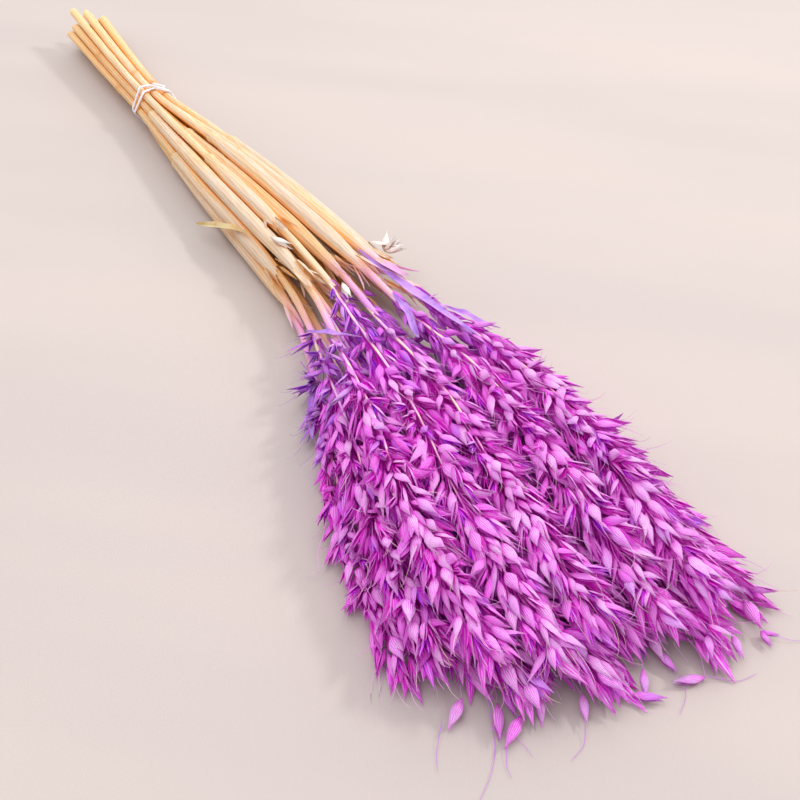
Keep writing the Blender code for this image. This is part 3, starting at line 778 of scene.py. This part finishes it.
# %% [markdown]
# A husk is built as a thin curved shell. Its cross-section is a crescent: five points on an arc over the back and
# one inside, which scales with the outline of the husk from foot to tip. The numbers of the outline come from a
# real oat glume, rounded at the foot, widest before its middle and drawn out to a point.

# %% One husk, as a function
HUSK_STEPS = np.array([0.0, 0.08, 0.2, 0.37, 0.57, 0.79, 1.0])
HUSK_WIDTHS = np.array([0.14, 0.4, 0.78, 1.0, 0.78, 0.34, 0.02])
HUSK_ARC = math.radians(78)
HUSK_AROUND = [0.0, 0.25, 0.5, 0.75, 1.0, 0.5, 0.0]


def husks(foot, ahead, back, length, width, depth, gape, curl):
    """Rings (husk, step, 6, xyz). With t the step and w its width, a point of the arc at angle a lies
    length t ahead, width w sin a / sin A across and depth w^0.8 (cos a - cos A) / (1 - cos A) out along the
    back. The inside point lies at 0.42 of the depth. The whole opens by the gape angle about its foot, and the
    tip bends out by curl t^2."""
    t, w = HUSK_STEPS[None, :, None], HUSK_WIDTHS[None, :, None]
    arc = np.linspace(-HUSK_ARC, HUSK_ARC, 5)
    across = np.append(np.sin(arc) / math.sin(HUSK_ARC), 0.0)
    rise = np.append((np.cos(arc) - math.cos(HUSK_ARC)) / (1 - math.cos(HUSK_ARC)), 0.42)
    length, width, depth, gape, curl = (value[:, None, None] for value in (length, width, depth, gape, curl))
    forward = length * t + 0 * across
    side = width * w * across
    out = depth * w**0.8 * rise + curl * length * t**2
    opened = out * np.cos(gape) + forward * np.sin(gape)
    forward = forward * np.cos(gape) - out * np.sin(gape)
    turned = np.cross(ahead, back)
    return (
        foot[:, None, None]
        + forward[..., None] * ahead[:, None, None]
        + opened[..., None] * back[:, None, None]
        + side[..., None] * turned[:, None, None]
    )


def spindles(foot, ahead, back, length, radius, lean, steps=(0.0, 0.3, 0.7, 1.0), sizes=(0.35, 1.0, 0.6, 0.03), sides=4):
    """Rings (spindle, step, side, xyz) of closed buds: radius times the sizes at the steps of the length, a little
    flat, leaning from the ahead direction by the lean angle."""
    steps, sizes = np.asarray(steps), np.asarray(sizes)
    direction = ahead * np.cos(lean)[:, None] + back * np.sin(lean)[:, None]
    outward = back * np.cos(lean)[:, None] - ahead * np.sin(lean)[:, None]
    turned = np.cross(direction, outward)
    angle = np.arange(sides) * 2 * math.pi / sides
    ring = np.cos(angle)[:, None] * outward[:, None] * 0.72 + np.sin(angle)[:, None] * turned[:, None]
    middle = foot[:, None] + (length[:, None] * steps)[..., None] * direction[:, None]
    return middle[:, :, None] + (radius[:, None] * sizes)[..., None, None] * ring[:, None]


print("a spikelet has", 2 * (6 * 6 + 2) + 2 * (3 * 4 + 2), "faces")

# %% [markdown]
# On a head the spikelets overlap like feathers, feet near the middle and tips out and forward, so the surface is
# a dense chevron. Their places run round the head by the golden angle, which spreads points evenly over any
# tapering form. Spikelets of one branchlet lean the same way, so every few of them share a turn of direction.

# %% Where the spikelets sit
GOLDEN = math.pi * (3 - math.sqrt(5))


def head_axis(name, x):
    """The middle of a head and its radius at stations x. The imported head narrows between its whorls, so its hull
    is taken, which at each ring is the largest of it and its two neighbours."""
    rings = head_rings[name]
    radius = rings[:, 3]
    hull = np.maximum(radius, np.maximum(np.roll(radius, 1), np.roll(radius, -1)))
    hull[0], hull[-1] = radius[0], radius[-1]
    return axis_at(rings, x), through(rings[:, 0], hull, x)


def buried(points, own):
    """True where a point lies inside another head's oval or close over the table."""
    inside = points[:, 2] < 1.2 * MM
    for name in names:
        if name != own:
            rings = head_rings[name]
            reach = (points[:, 0] > rings[0, 0]) & (points[:, 0] < rings[-1, 0])
            middle, radius = head_axis(name, points[:, 0])
            off = (points - middle)[:, 1:] / np.array([1.0, FLATNESS])
            inside |= reach & (np.linalg.norm(off, axis=1) < 0.8 * radius)
    return inside


def spikelet_places(name, count, wild):
    """Feet, directions, outward normals, lengths and places along the head of a head's spikelets. The count grows
    with the radius. Feet lie at 0.15 to 0.78 of the radius, and each tip reaches about the hull."""
    rings = head_rings[name]
    first, last = rings[0, 0] - 3 * MM, rings[-1, 0] - 8 * MM
    x = np.linspace(first, last, 200)
    _, radius = head_axis(name, x)
    crowd = np.cumsum(radius**1.25 * np.interp(np.linspace(0, 1, 200), [0, 0.3, 0.5], [0.62, 0.8, 1.0]))
    share = (np.arange(count) + chance.uniform(-0.5, 0.5, count)) / count
    x = np.interp(np.clip(share, 0, 1) * crowd[-1], crowd, x)
    angle = np.arange(count) * GOLDEN + chance.normal(0, 0.3, count)
    middle, radius = head_axis(name, x)
    further, _ = head_axis(name, x + 4 * MM)
    tangent = unit(further - middle)
    oval = np.stack([0 * angle, np.cos(angle), np.sin(angle) * FLATNESS], axis=1)
    outward = unit(oval - (oval * tangent).sum(1, keepdims=True) * tangent)
    along = (x - rings[0, 0]) / (rings[-1, 0] - rings[0, 0])
    length = 15.4 * MM * np.interp(along, [0, 0.2, 0.5, 1], [0.84, 0.92, 1.0, 1.0])
    length = length * chance.normal(1, 0.1, count).clip(0.75, 1.25)
    near_surface = chance.random(count) < 0.74
    depth = np.where(near_surface, chance.uniform(0.44, 0.78, count), chance.uniform(0.15, 0.44, count))
    foot = middle + oval * (radius * depth)[:, None]
    reach = np.clip(radius * (1.04 - depth) / length, 0.04, 0.6)
    tilt = (np.arcsin(reach) + chance.normal(0, math.radians(7), count)) * np.interp(along, [0, 0.15, 0.9, 1], [0.4, 1, 1, 0.6])
    tilt = np.clip(tilt, math.radians(1), math.radians(44))
    branch = np.arange(count) // 6
    shared = chance.normal(0, 1, (branch[-1] + 1, 3))[branch] * 0.1
    own = chance.normal(0, 1, (count, 3)) * wild
    ahead = unit(tangent * np.cos(tilt)[:, None] + outward * np.sin(tilt)[:, None] + shared + own)
    return foot, ahead, outward, length, along, depth


places = spikelet_places(names[0], 240, 0.12)
print("lengths", np.round([places[3].min() / MM, places[3].max() / MM], 1), "mm")

# %% [markdown]
# The dye is part of the look: bluish violet near the foot of the heads, above all on the left, magenta in the middle of
# the fan and pale lilac in front. Painted light and shade lie over it: the tops of the ridges are paler, and the lower
# layer, the valleys and spikelets deep in a head are darker and pinker. Each spikelet gets its own mix of these in its
# tint.

# %% How each spikelet is dyed and shaded
def dyed(foot, layer, painted_shade):
    """Tint (lightness, violet share, pink share) of spikelets by place: violet falls off along the bundle from the feet
    of the heads and from left to right, pink is strongest in the middle, the lower layer and spikelets sunk deep in a
    head or facing sideways and down get painted shade, darker and pinker, and chance is added to each."""
    number = len(foot)
    x, y = foot[:, 0], foot[:, 1] / (80 * MM)
    bluish = np.clip(1.08 - (x - 0.035) / 0.09, 0, 1) * np.clip(0.86 - 0.16 * y, 0.6, 1.0)
    patch = 0.5 + 0.5 * np.sin(x * 55 + 3 * y) * np.sin(2.5 + x * 23 - 5 * y)
    violet = np.clip(bluish * (0.8 + 0.5 * patch) + chance.normal(0.04, 0.1, number), 0, 1)
    violet = np.where(chance.random(number) < 0.05, np.clip(violet + 0.45, 0, 1), violet)
    # Pink by place along the bundle is dye; the lower layer gets more, as painted shade under the heads above.
    pink = np.interp(x, [0.03, 0.1, 0.17, 0.26], [0.4, 0.62, 0.34, 0.14]) + (0.15 if layer == "low" else 0.0)
    pink = np.clip(pink + 0.25 * (patch - 0.5) + chance.normal(0, 0.16, number), 0, 1)
    # Painted shade: spikelets deep in a head or facing sideways and down turn pinker.
    pink = np.clip(pink + 0.75 * painted_shade, 0, 1)
    # Lightness starts lower for lower layers as painted shade, varies by chance, falls with violet dye and falls
    # further in painted shade.
    light = {"top": 0.84, "mid": 0.76, "low": 0.7}[layer] + chance.normal(0, 0.17, number)
    light = np.clip(light - 0.1 * bluish - 0.45 * painted_shade, 0, 1)
    return np.stack([light, violet, pink], axis=1)


print("violet at the foot, pink in the middle")

# %% [markdown]
# Awns and hairs stand out of the spikelets and catch the light. Each is a thin tube along a path whose direction
# turns steadily, which gives a loose curl, and it thins to a point.

# %% Hairs
def hairs(start, direction, length, curl, radius, steps=7):
    """Rings of curled hairs. The direction at step k is the start direction plus curl (k / n)^1.5, at length
    one, and the path adds up equal strides along it."""
    share = np.linspace(0, 1, steps)
    turning = unit(direction[:, None] + curl[:, None] * (share**1.5)[None, :, None])
    stride = turning * (length / (steps - 1))[:, None, None]
    path = start[:, None] + np.concatenate([np.zeros((len(start), 1, 3)), np.cumsum(stride[:, :-1], axis=1)], axis=1)
    path[..., 2] = np.maximum(path[..., 2], 0.5 * MM)
    return tubes(path, np.asarray(radius)[:, None] * np.linspace(1.0, 0.35, steps), 3, facing=(0.3, 0.2, 0.93))


print("hairs have", 6 * 3 + 2, "faces")

# %% [markdown]
# Now a whole head is grown. Spikelets in sight get two husks and, where they gape, two florets. Those at the
# bottom or pressed between heads are plain closed buds of the same outline, which saves most of their faces.
# Every spikelet hangs on a stalklet that curves back to the rachis, the main stem inside the head.

# %% One head
HIGHEST = cad_box[1][2] + 9.5 * MM
WIDEST = cad_box[1][1] + 12 * MM


def lifted(part, height):
    """The same shells with no point lower than that height over the table, nor outside the bundle's room."""
    part["points"][:, 2] = np.clip(part["points"][:, 2], height, HIGHEST)
    part["points"][:, 1] = np.clip(part["points"][:, 1], -WIDEST, WIDEST)
    return part


def grown(name, count):
    """All the shells of one head, and how many spikelets it has."""
    wild = chance.uniform(0.11, 0.21)
    foot, ahead, outward, length, along, sunk = spikelet_places(name, count, wild)
    hidden = buried(foot + ahead * 0.6 * length[:, None] + outward * 2.2 * MM, name)
    keep = ~hidden | (chance.random(count) < 0.3)
    foot, ahead, outward, length, along, sunk, hidden = (
        given[keep] for given in (foot, ahead, outward, length, along, sunk, hidden)
    )
    number = len(foot)
    foot[:, 2] = np.maximum(foot[:, 2], 1.6 * MM)
    ahead[:, 2] = np.maximum(ahead[:, 2], (1.4 * MM - foot[:, 2]) / length)
    ahead = unit(ahead)
    # Painted shade: how deep the foot sits in its head and how far the spikelet faces away from the top.
    painted_shade = np.clip((0.55 - sunk) / 0.4, 0, 1) * 0.6 + 0.75 * (1 - np.clip(outward[:, 2] * 1.15, 0, 1)) ** 1.5
    tint = dyed(foot, name[:3], np.clip(painted_shade, 0, 1))
    # Painted shade: the inner husk, facing into the head, is darker and pinker.
    inner_shaded_tint = np.clip(tint + np.array([-0.05, 0.0, 0.4]), 0, 1)
    floret_tint = np.clip(tint + np.stack([-0.06 + 0 * length, 0.55 * (chance.random(number) < 0.4), 0.1 + 0 * length], axis=1), 0, 1)

    roll = chance.normal(0, 0.5, number) + (chance.random(number) < 0.18) * chance.choice([-1.3, 1.3], number)
    back = unit(outward - (outward * ahead).sum(1, keepdims=True) * ahead)
    back = back * np.cos(roll)[:, None] + np.cross(ahead, back) * np.sin(roll)[:, None]
    gaping = chance.random(number) < 0.36
    gape = np.where(gaping, chance.uniform(0.1, 0.3, number), chance.uniform(0.01, 0.08, number))
    width = length * chance.uniform(0.125, 0.185, number) * np.interp(along, [0, 0.35], [0.76, 1])
    depth = width * chance.uniform(0.38, 0.66, number)
    curl = chance.normal(0.02, 0.045, number)

    plain = hidden | (outward[:, 2] < -0.35)
    full, open_ones, buds = ~plain, ~plain & gaping, plain
    outer = husks(*(given[full] for given in (foot, ahead, back, length, width, depth, gape, curl)))
    short = length * chance.uniform(0.84, 1.0, number)
    inner = husks(*(given[full] for given in (foot, ahead, -back, short, width * 0.95, depth * 0.9, gape * 0.8, -curl * 0.4)))
    floret_size = length * chance.uniform(0.72, 1.0, number)
    core = spindles(*(given[open_ones] for given in (foot, ahead, back, floret_size, width * 0.4, gape * 0.5)))
    second = spindles(*(given[open_ones] for given in (foot, ahead, -back, floret_size * 0.9, width * 0.34, gape * 0.45)))
    bud = spindles(*(given[buds] for given in (foot, ahead, back, length, width, 0 * gape)), HUSK_STEPS, HUSK_WIDTHS, 6)

    anchor = axis_at(head_rings[name], foot[:, 0] - chance.uniform(7, 17, number) * MM)
    elbow = anchor * 0.45 + (foot - ahead * 5 * MM) * 0.55
    t = np.linspace(0, 1, 4)[None, :, None]
    stalk = (1 - t) ** 2 * anchor[:, None] + 2 * t * (1 - t) * elbow[:, None] + t**2 * (foot + ahead * 0.4 * MM)[:, None]
    stalks = tubes(stalk, np.full((number, 1), 0.25 * MM) * np.array([1.2, 1, 0.9, 1.3]), 3)

    haired = full & (chance.random(number) < 0.55)
    some = haired.sum()
    start = foot[haired] + ahead[haired] * (length[haired] * 0.6)[:, None] + back[haired] * (depth[haired] * 0.35)[:, None]
    hair_way = unit(ahead[haired] + back[haired] * 0.12 + chance.normal(0, 0.16, (some, 3)))
    hair = hairs(start, hair_way, chance.uniform(8, 20, some) * MM, chance.normal(0, 0.8, (some, 3)), chance.uniform(0.12, 0.19, some) * MM)
    hair_tint = tint[haired] * np.array([1.0, 0.6, 0.25])
    parts = [
        shells(outer, 0, tint[full], around=HUSK_AROUND), shells(inner, 0, inner_shaded_tint[full], around=HUSK_AROUND),
        shells(core, 1, floret_tint[open_ones]), shells(second, 1, floret_tint[open_ones]),
        shells(bud, 0, tint[buds]), shells(stalks, 2, tint), shells(hair, 2, hair_tint),
    ]
    return [lifted(part, (0.3 + 0.05 * order) * MM) for order, part in enumerate(parts)], number


def rachis(name):
    """The main stem inside a head, its radius 0.85 mm at the foot and 0.32 mm at the tip, a little wavy. At the foot of the head it
    rises towards the top of it, where it lies in sight between the first spikelets."""
    x = np.linspace(head_rings[name][0, 0] - 4 * MM, head_rings[name][-1, 0] - 2 * MM, 30)
    path, radius = head_axis(name, x)
    path[:, 2] += radius * np.interp(np.linspace(0, 1, 30), [0, 0.1, 0.42, 0.75], [0, 0.5, 0.6, 0.0]) * FLATNESS
    path[:, 1] += 1.1 * MM * np.sin(np.linspace(0, 11, 30) + path[0, 1] * 900)
    return shells(tubes(path[None], np.linspace(0.85, 0.32, 30)[None] * MM, 6), 2, np.array([[0.6, 0.16, 0.0]]))


heads = []
total = 0
SPIKELETS = {"top": 262, "mid": 262, "low": 236}
for name in names:
    parts, number = grown(name, SPIKELETS[name[:3]])
    parts.append(lifted(rachis(name), 0.3 * MM))
    heads.append(piece(f"oat_head_{name}", parts, [HUSK, FLORET, STALKLET], "dyed_oat", f"head_{name}"))
    total += number
print(total, "spikelets,", triangles_in(*heads), "triangles")

# %% [markdown]
# Some spikelets don't follow the heads. On the left, at the feet of the outer heads, a tuft of narrow bluish ones
# points out sideways. In front, single spikelets hang off the last branchlets and lie on the cloth, with long
# thin awns. They are the same husks as before, at places given one by one.

# %% Tuft on the left and stray spikelets in front
def strays(foot, tip, wide, open_angle, tint, facing):
    """Two husks for each spikelet from a foot to a tip, both given in millimetres."""
    foot, tip, tint = (np.asarray(given, float) for given in (foot, tip, tint))
    span = (tip - foot) * MM
    length = np.linalg.norm(span, axis=1)
    ahead = unit(span)
    back = unit(facing - (facing * ahead).sum(1, keepdims=True) * ahead)
    width, gape = length * wide, np.full(len(foot), open_angle)
    outer = husks(foot * MM, ahead, back, length, width, 0.55 * width, gape, 0.02 + 0 * length)
    inner = husks(foot * MM, ahead, -back, length * 0.93, width * 0.95, 0.45 * width, gape, 0 * length)
    return [shells(outer, 0, tint, around=HUSK_AROUND), shells(inner, 0, tint, around=HUSK_AROUND)]


def threads(routes, thickness, tint):
    """Thin stalklets and awns, each along a smooth curve through its points in millimetres."""
    made = []
    for route in routes:
        path = through(np.arange(len(route)), np.array(route) * MM, np.linspace(0, len(route) - 1, 12))
        made.append(shells(tubes(path[None], np.linspace(thickness, 0.4 * thickness, 12)[None], 4), 2, tint))
    return made


outer_feet = []
outer_tips = []
for name, reach in (("low_1", 9), ("mid_1", 9), ("low_1", 12), ("top_1", 7)):
    x = np.linspace(54, 118, 10) * MM + chance.normal(0, 3, 10) * MM
    middle, radius = head_axis(name, np.clip(x, head_rings[name][0, 0], None))
    sideways = np.array([0.45, -0.75, 0.12]) + chance.normal(0, 0.28, (10, 3))
    start = middle + np.array([0.0, -0.2, 0.25]) * radius[:, None]
    outer_feet.append(start)
    outer_tips.append(start + unit(sideways) * (reach + chance.uniform(3, 9, 10))[:, None] * MM)
outer_feet, outer_tips = np.concatenate(outer_feet), np.concatenate(outer_tips)
outer_tips[:, 2] = np.maximum(outer_tips[:, 2], 2 * MM)
number = len(outer_feet)
tuft_tint = np.stack([chance.uniform(0.6, 1.0, number), chance.uniform(0.6, 1.0, number), chance.uniform(0, 0.4, number)], axis=1)
tuft_facing = unit(np.array([0.0, -0.4, 1.0]) + chance.normal(0, 0.4, (number, 3)))
parts = strays(outer_feet / MM, outer_tips / MM, 0.1, 0.07, tuft_tint, tuft_facing)
awn_way = unit(outer_tips - outer_feet)
parts.append(shells(hairs(outer_tips - awn_way * 3 * MM, awn_way, chance.uniform(7, 16, number) * MM,
                          chance.normal(0, 0.5, (number, 3)), np.full(number, 0.11 * MM)), 2, tuft_tint))
tuft = piece("left_tuft", [lifted(part, 0.4 * MM) for part in parts], [HUSK, FLORET, STALKLET], "dyed_oat")

STRAY_ENDS = np.array([
    [266, -60, 4, 275, -73, 2.6], [275, -49, 4, 289, -57.5, 2.6], [284, -43.5, 3.5, 293, -58.3, 2.6],
    [272, -45, 7, 284.5, -46.2, 4], [289, -17.6, 5, 301, -24.2, 3], [285, 1.4, 7, 299.7, -5, 3],
    [289, 20.9, 5, 301, 21.9, 3], [308, 30.8, 3, 302.6, 16.7, 2.8], [299, -0.7, 4, 308.4, 11, 3],
    [296, 42.6, 6, 309.7, 34.6, 3], [303, 64.8, 3.5, 311.5, 64, 2.6], [303, 64.8, 3.5, 309, 71, 2.6],
    [281, -33, 5, 293, -40, 3], [293, 10, 6, 304, 3, 3], [299, 52, 7, 310, 49, 3],
])
STRAY_TINTS = np.array([
    [0.8, 0.1, 0.2], [0.6, 0.15, 0.6], [0.6, 0.1, 0.7], [0.5, 0.3, 0.6], [0.9, 0.2, 0.1], [0.8, 0.1, 0.3],
    [0.7, 0.3, 0.2], [0.9, 0.3, 0.1], [0.6, 0.4, 0.5], [0.7, 0.1, 0.5], [0.7, 0.2, 0.5], [0.7, 0.2, 0.5],
    [0.8, 0.1, 0.2], [0.8, 0.3, 0.2], [0.8, 0.2, 0.3],
])
upright = np.tile([0.1, 0.1, 1.0], (len(STRAY_ENDS), 1))
wide = chance.uniform(0.13, 0.17, len(STRAY_ENDS))
parts = strays(STRAY_ENDS[:, :3], STRAY_ENDS[:, 3:], wide, 0.1, STRAY_TINTS, upright)
hung = [[foot + [-16, 3, 5], foot + [-8, 3, 3.5], foot] for foot in STRAY_ENDS[:, :3]]
parts += threads(hung, 0.22 * MM, np.array([[0.7, 0.3, 0.2]]))
awns = [
    [(268, -50, 6), (278, -54, 2.5), (290, -60, 0.8), (298, -67.5, 0.8), (304, -76, 0.8), (310, -84, 0.8)],
    [(292, -56, 2), (298, -60, 0.8), (303, -61, 0.8)], [(307.6, 32, 2.5), (315, 42, 0.8), (316.5, 51, 0.8)],
    [(272, 82, 6), (275, 86, 4), (281, 90, 2)], [(303, 66, 4), (312, 74, 1.5), (316, 84, 0.8)],
    [(300, -24, 3), (306, -29, 1), (309, -37, 0.8)], [(301, 22, 3), (309, 20, 1), (315, 12, 0.8)],
    [(282, -57, 3), (291, -50, 1), (300, -49, 0.8)], [(270, -72, 3), (279, -80, 1), (286, -84, 0.8)],
]
parts += threads(awns, 0.17 * MM, np.array([[0.5, 0.6, 0.4]]))
front = piece("front_spikelets", [lifted(part, 0.4 * MM) for part in parts], [HUSK, FLORET, STALKLET], "dyed_oat")
print("tuft", triangles_in(tuft), "and front", triangles_in(front), "triangles")

# %% [markdown]
# Dry leaf blades lie over the stems and between the heads, dyed lavender where they reach the heads. The packed
# solids say where they lie: the points of each are cut into slices along its longest direction, and the middles of
# the slices give the line that a thin folded ribbon follows.

# %% Leaf blades
def spine_of(node, towards):
    """Eight points along the middle of a slender solid, ending in the given direction."""
    points = np.empty(3 * len(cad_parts[node].data.vertices))
    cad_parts[node].data.vertices.foreach_get("co", points)
    points = points.reshape(-1, 3)
    longest = np.linalg.svd(points - points.mean(axis=0), full_matrices=False)[2][0]
    longest = longest * np.sign(longest @ towards)
    along = (points - points.mean(axis=0)) @ longest
    cuts = np.linspace(along.min(), along.max(), 9)
    slices = np.clip(np.searchsorted(cuts, along, side="right") - 1, 0, 7)
    filled = np.unique(slices)
    return np.array([points[slices == number].mean(axis=0) for number in filled])


def blade_finish(name, body, base, vein_colour):
    """Dry leaf: long veins, blotches and a darker foot."""
    made, tree, shader = finish(name, roughness=0.6, gloss=0.3, glow_through=0.3, glow_reach=0.003)
    light, violet_share, pink_share = tinted(tree)
    place, _ = place_on(tree)
    _, (u, v, _) = place_on(tree, "UV")
    lines, edge = veined(tree, 16.0, 0.03)
    spots = cloudy(tree, place, 120.0, 4.0)
    colour = blended(tree, fitted(tree, spots, 0.4, 0.68), body, base)
    colour = blended(tree, fitted(tree, u, 0.0, 0.35, 0.7, 0.0), colour, base)
    colour = blended(tree, fitted(tree, lines, 0.3, 1.0, 0.0, 0.6), colour, vein_colour)
    put(tree, colour, shader.inputs["Base Color"])
    put(tree, fitted(tree, spots, 0.3, 0.7, 0.5, 0.7), shader.inputs["Roughness"])
    bumped(tree, lines, 0.8, 0.00022, shader)
    return made


RIBBON_ACROSS = np.array([-1.0, -0.66, -0.33, 0.0, 0.33, 0.66, 1.0, 0.66, 0.33, 0.0, -0.33, -0.66])
RIBBON_LAYER = np.array([0, 1, 1, 1, 1, 1, 0, -1, -1, -1, -1, -1])


def ribbon(spine, half_width, fold, twist):
    """Rings (1, 26, 12, xyz) of a leaf blade on its spine. With t the share of its length, it is half_width
    (0.2 + 0.8 t / 0.35) (1 - t^3)^0.5 wide and 0.2 mm thick, folded up by fold |s| at its sides s, and it turns
    about its spine by twist t^2, with its edges waving by 8%."""
    t = np.linspace(0, 1, 26)
    path = through(np.linspace(0, 1, len(spine)), spine, t)
    tangent, normal, across = frames_along(path, np.broadcast_to(UP, path.shape))
    half = half_width * np.sqrt(np.clip(1 - t**3, 0.004, 1)) * (0.2 + 0.8 * np.minimum(t / 0.35, 1))
    half = half * (1 + 0.08 * np.sin(19 * t + half_width * 9000))
    side = half[:, None] * RIBBON_ACROSS
    out = fold * half[:, None] * np.abs(RIBBON_ACROSS) ** 1.4 + 0.1 * MM * RIBBON_LAYER * np.minimum(1, (1.02 - t) * 8)[:, None]
    angle = (twist * t**2)[:, None]
    side, out = side * np.cos(angle) - out * np.sin(angle), side * np.sin(angle) + out * np.cos(angle)
    return (path[:, None] + side[..., None] * across[:, None] + out[..., None] * normal[:, None])[None]


DYED_LEAF = blade_finish("violet_leaf", srgb(206, 142, 238), srgb(158, 84, 226), srgb(232, 196, 250))
STRAW_LEAF = blade_finish("straw_leaf", srgb(242, 212, 160), srgb(226, 172, 100), srgb(250, 236, 206))
RIBBON_AROUND = np.concatenate([(RIBBON_ACROSS + 1) / 2, [0.0]])
BLADES = {"violet_blade_1": (2.7, 0.5, 0.5), "violet_blade_2": (2.1, 0.7, -0.6), "violet_blade_3": (2.2, 0.6, 0.8),
          "violet_blade_4": (2.4, 0.8, -0.5), "violet_blade_5": (2.2, 0.5, 0.7), "straw_blade": (2.3, 0.9, 0.9)}
blades = []
for node, (half_width, fold, twist) in BLADES.items():
    pale = node == "straw_blade"
    spine = spine_of(node, np.array([-1.0, 0.0, 0.0]) if pale else np.array([1.0, 0.0, 0.0]))
    leaf = shells(ribbon(spine, half_width * MM, fold, twist), 0, np.array([[0.6, 0.5, 0.5]]), around=RIBBON_AROUND)
    slot = "pale_leaf" if pale else "dyed_leaf"
    blades.append(piece(f"leaf_{node}", [lifted(leaf, 0.3 * MM)], [STRAW_LEAF if pale else DYED_LEAF], slot, node))
print(len(blades), "blades,", triangles_in(*blades), "triangles")

# %% [markdown]
# A few empty husks without dye are caught in the bundle. Each is a pair of white papery glumes that gape, and a
# small group of them sits at the right edge, like a little flower.

# %% Pale loose husks
loose = []
for node, turn, spread in (("loose_husk_1", 0.4, 0.3), ("loose_husk_2", -0.2, 0.14), ("loose_husk_3", 0.2, 0.22)):
    spine = spine_of(node, np.array([1.0, 0.0, 0.0]))
    ends = np.stack([spine[0] + (spine[0] - spine[1]) * 0.4, spine[-1] + (spine[-1] - spine[-2]) * 0.6]) / MM
    facing = unit(np.array([[0.0, math.sin(turn), math.cos(turn)]]))
    pair = strays(ends[:1], ends[1:], 0.1, spread, [[0.8, 0.1, 0.3]], facing)
    if node == "loose_husk_1":
        fan = np.array([[-7.0, 6.0, 4.0], [0.0, 9.0, 3.0], [8.0, 7.0, 5.0], [3.0, 5.0, 8.0]])
        base = np.repeat(ends[:1] * 0.4 + ends[1:] * 0.6, 4, axis=0)
        pair += strays(base, base + fan * 1.25, 0.17, 0.1, np.tile([0.9, 0.1, 0.3], (4, 1)), np.tile([0.0, -0.3, 1.0], (4, 1)))
    loose.append(piece(f"papery_{node}", [lifted(part, 0.3 * MM) for part in pair], [PAPER], "pale_husk", node))
print(len(loose), "loose husks,", triangles_in(*loose), "triangles")

# %% [markdown]
# The last cell brings the scene up to date. The visual model has to stay close to the imported
# one.

# %% Last update
bpy.context.view_layer.update()
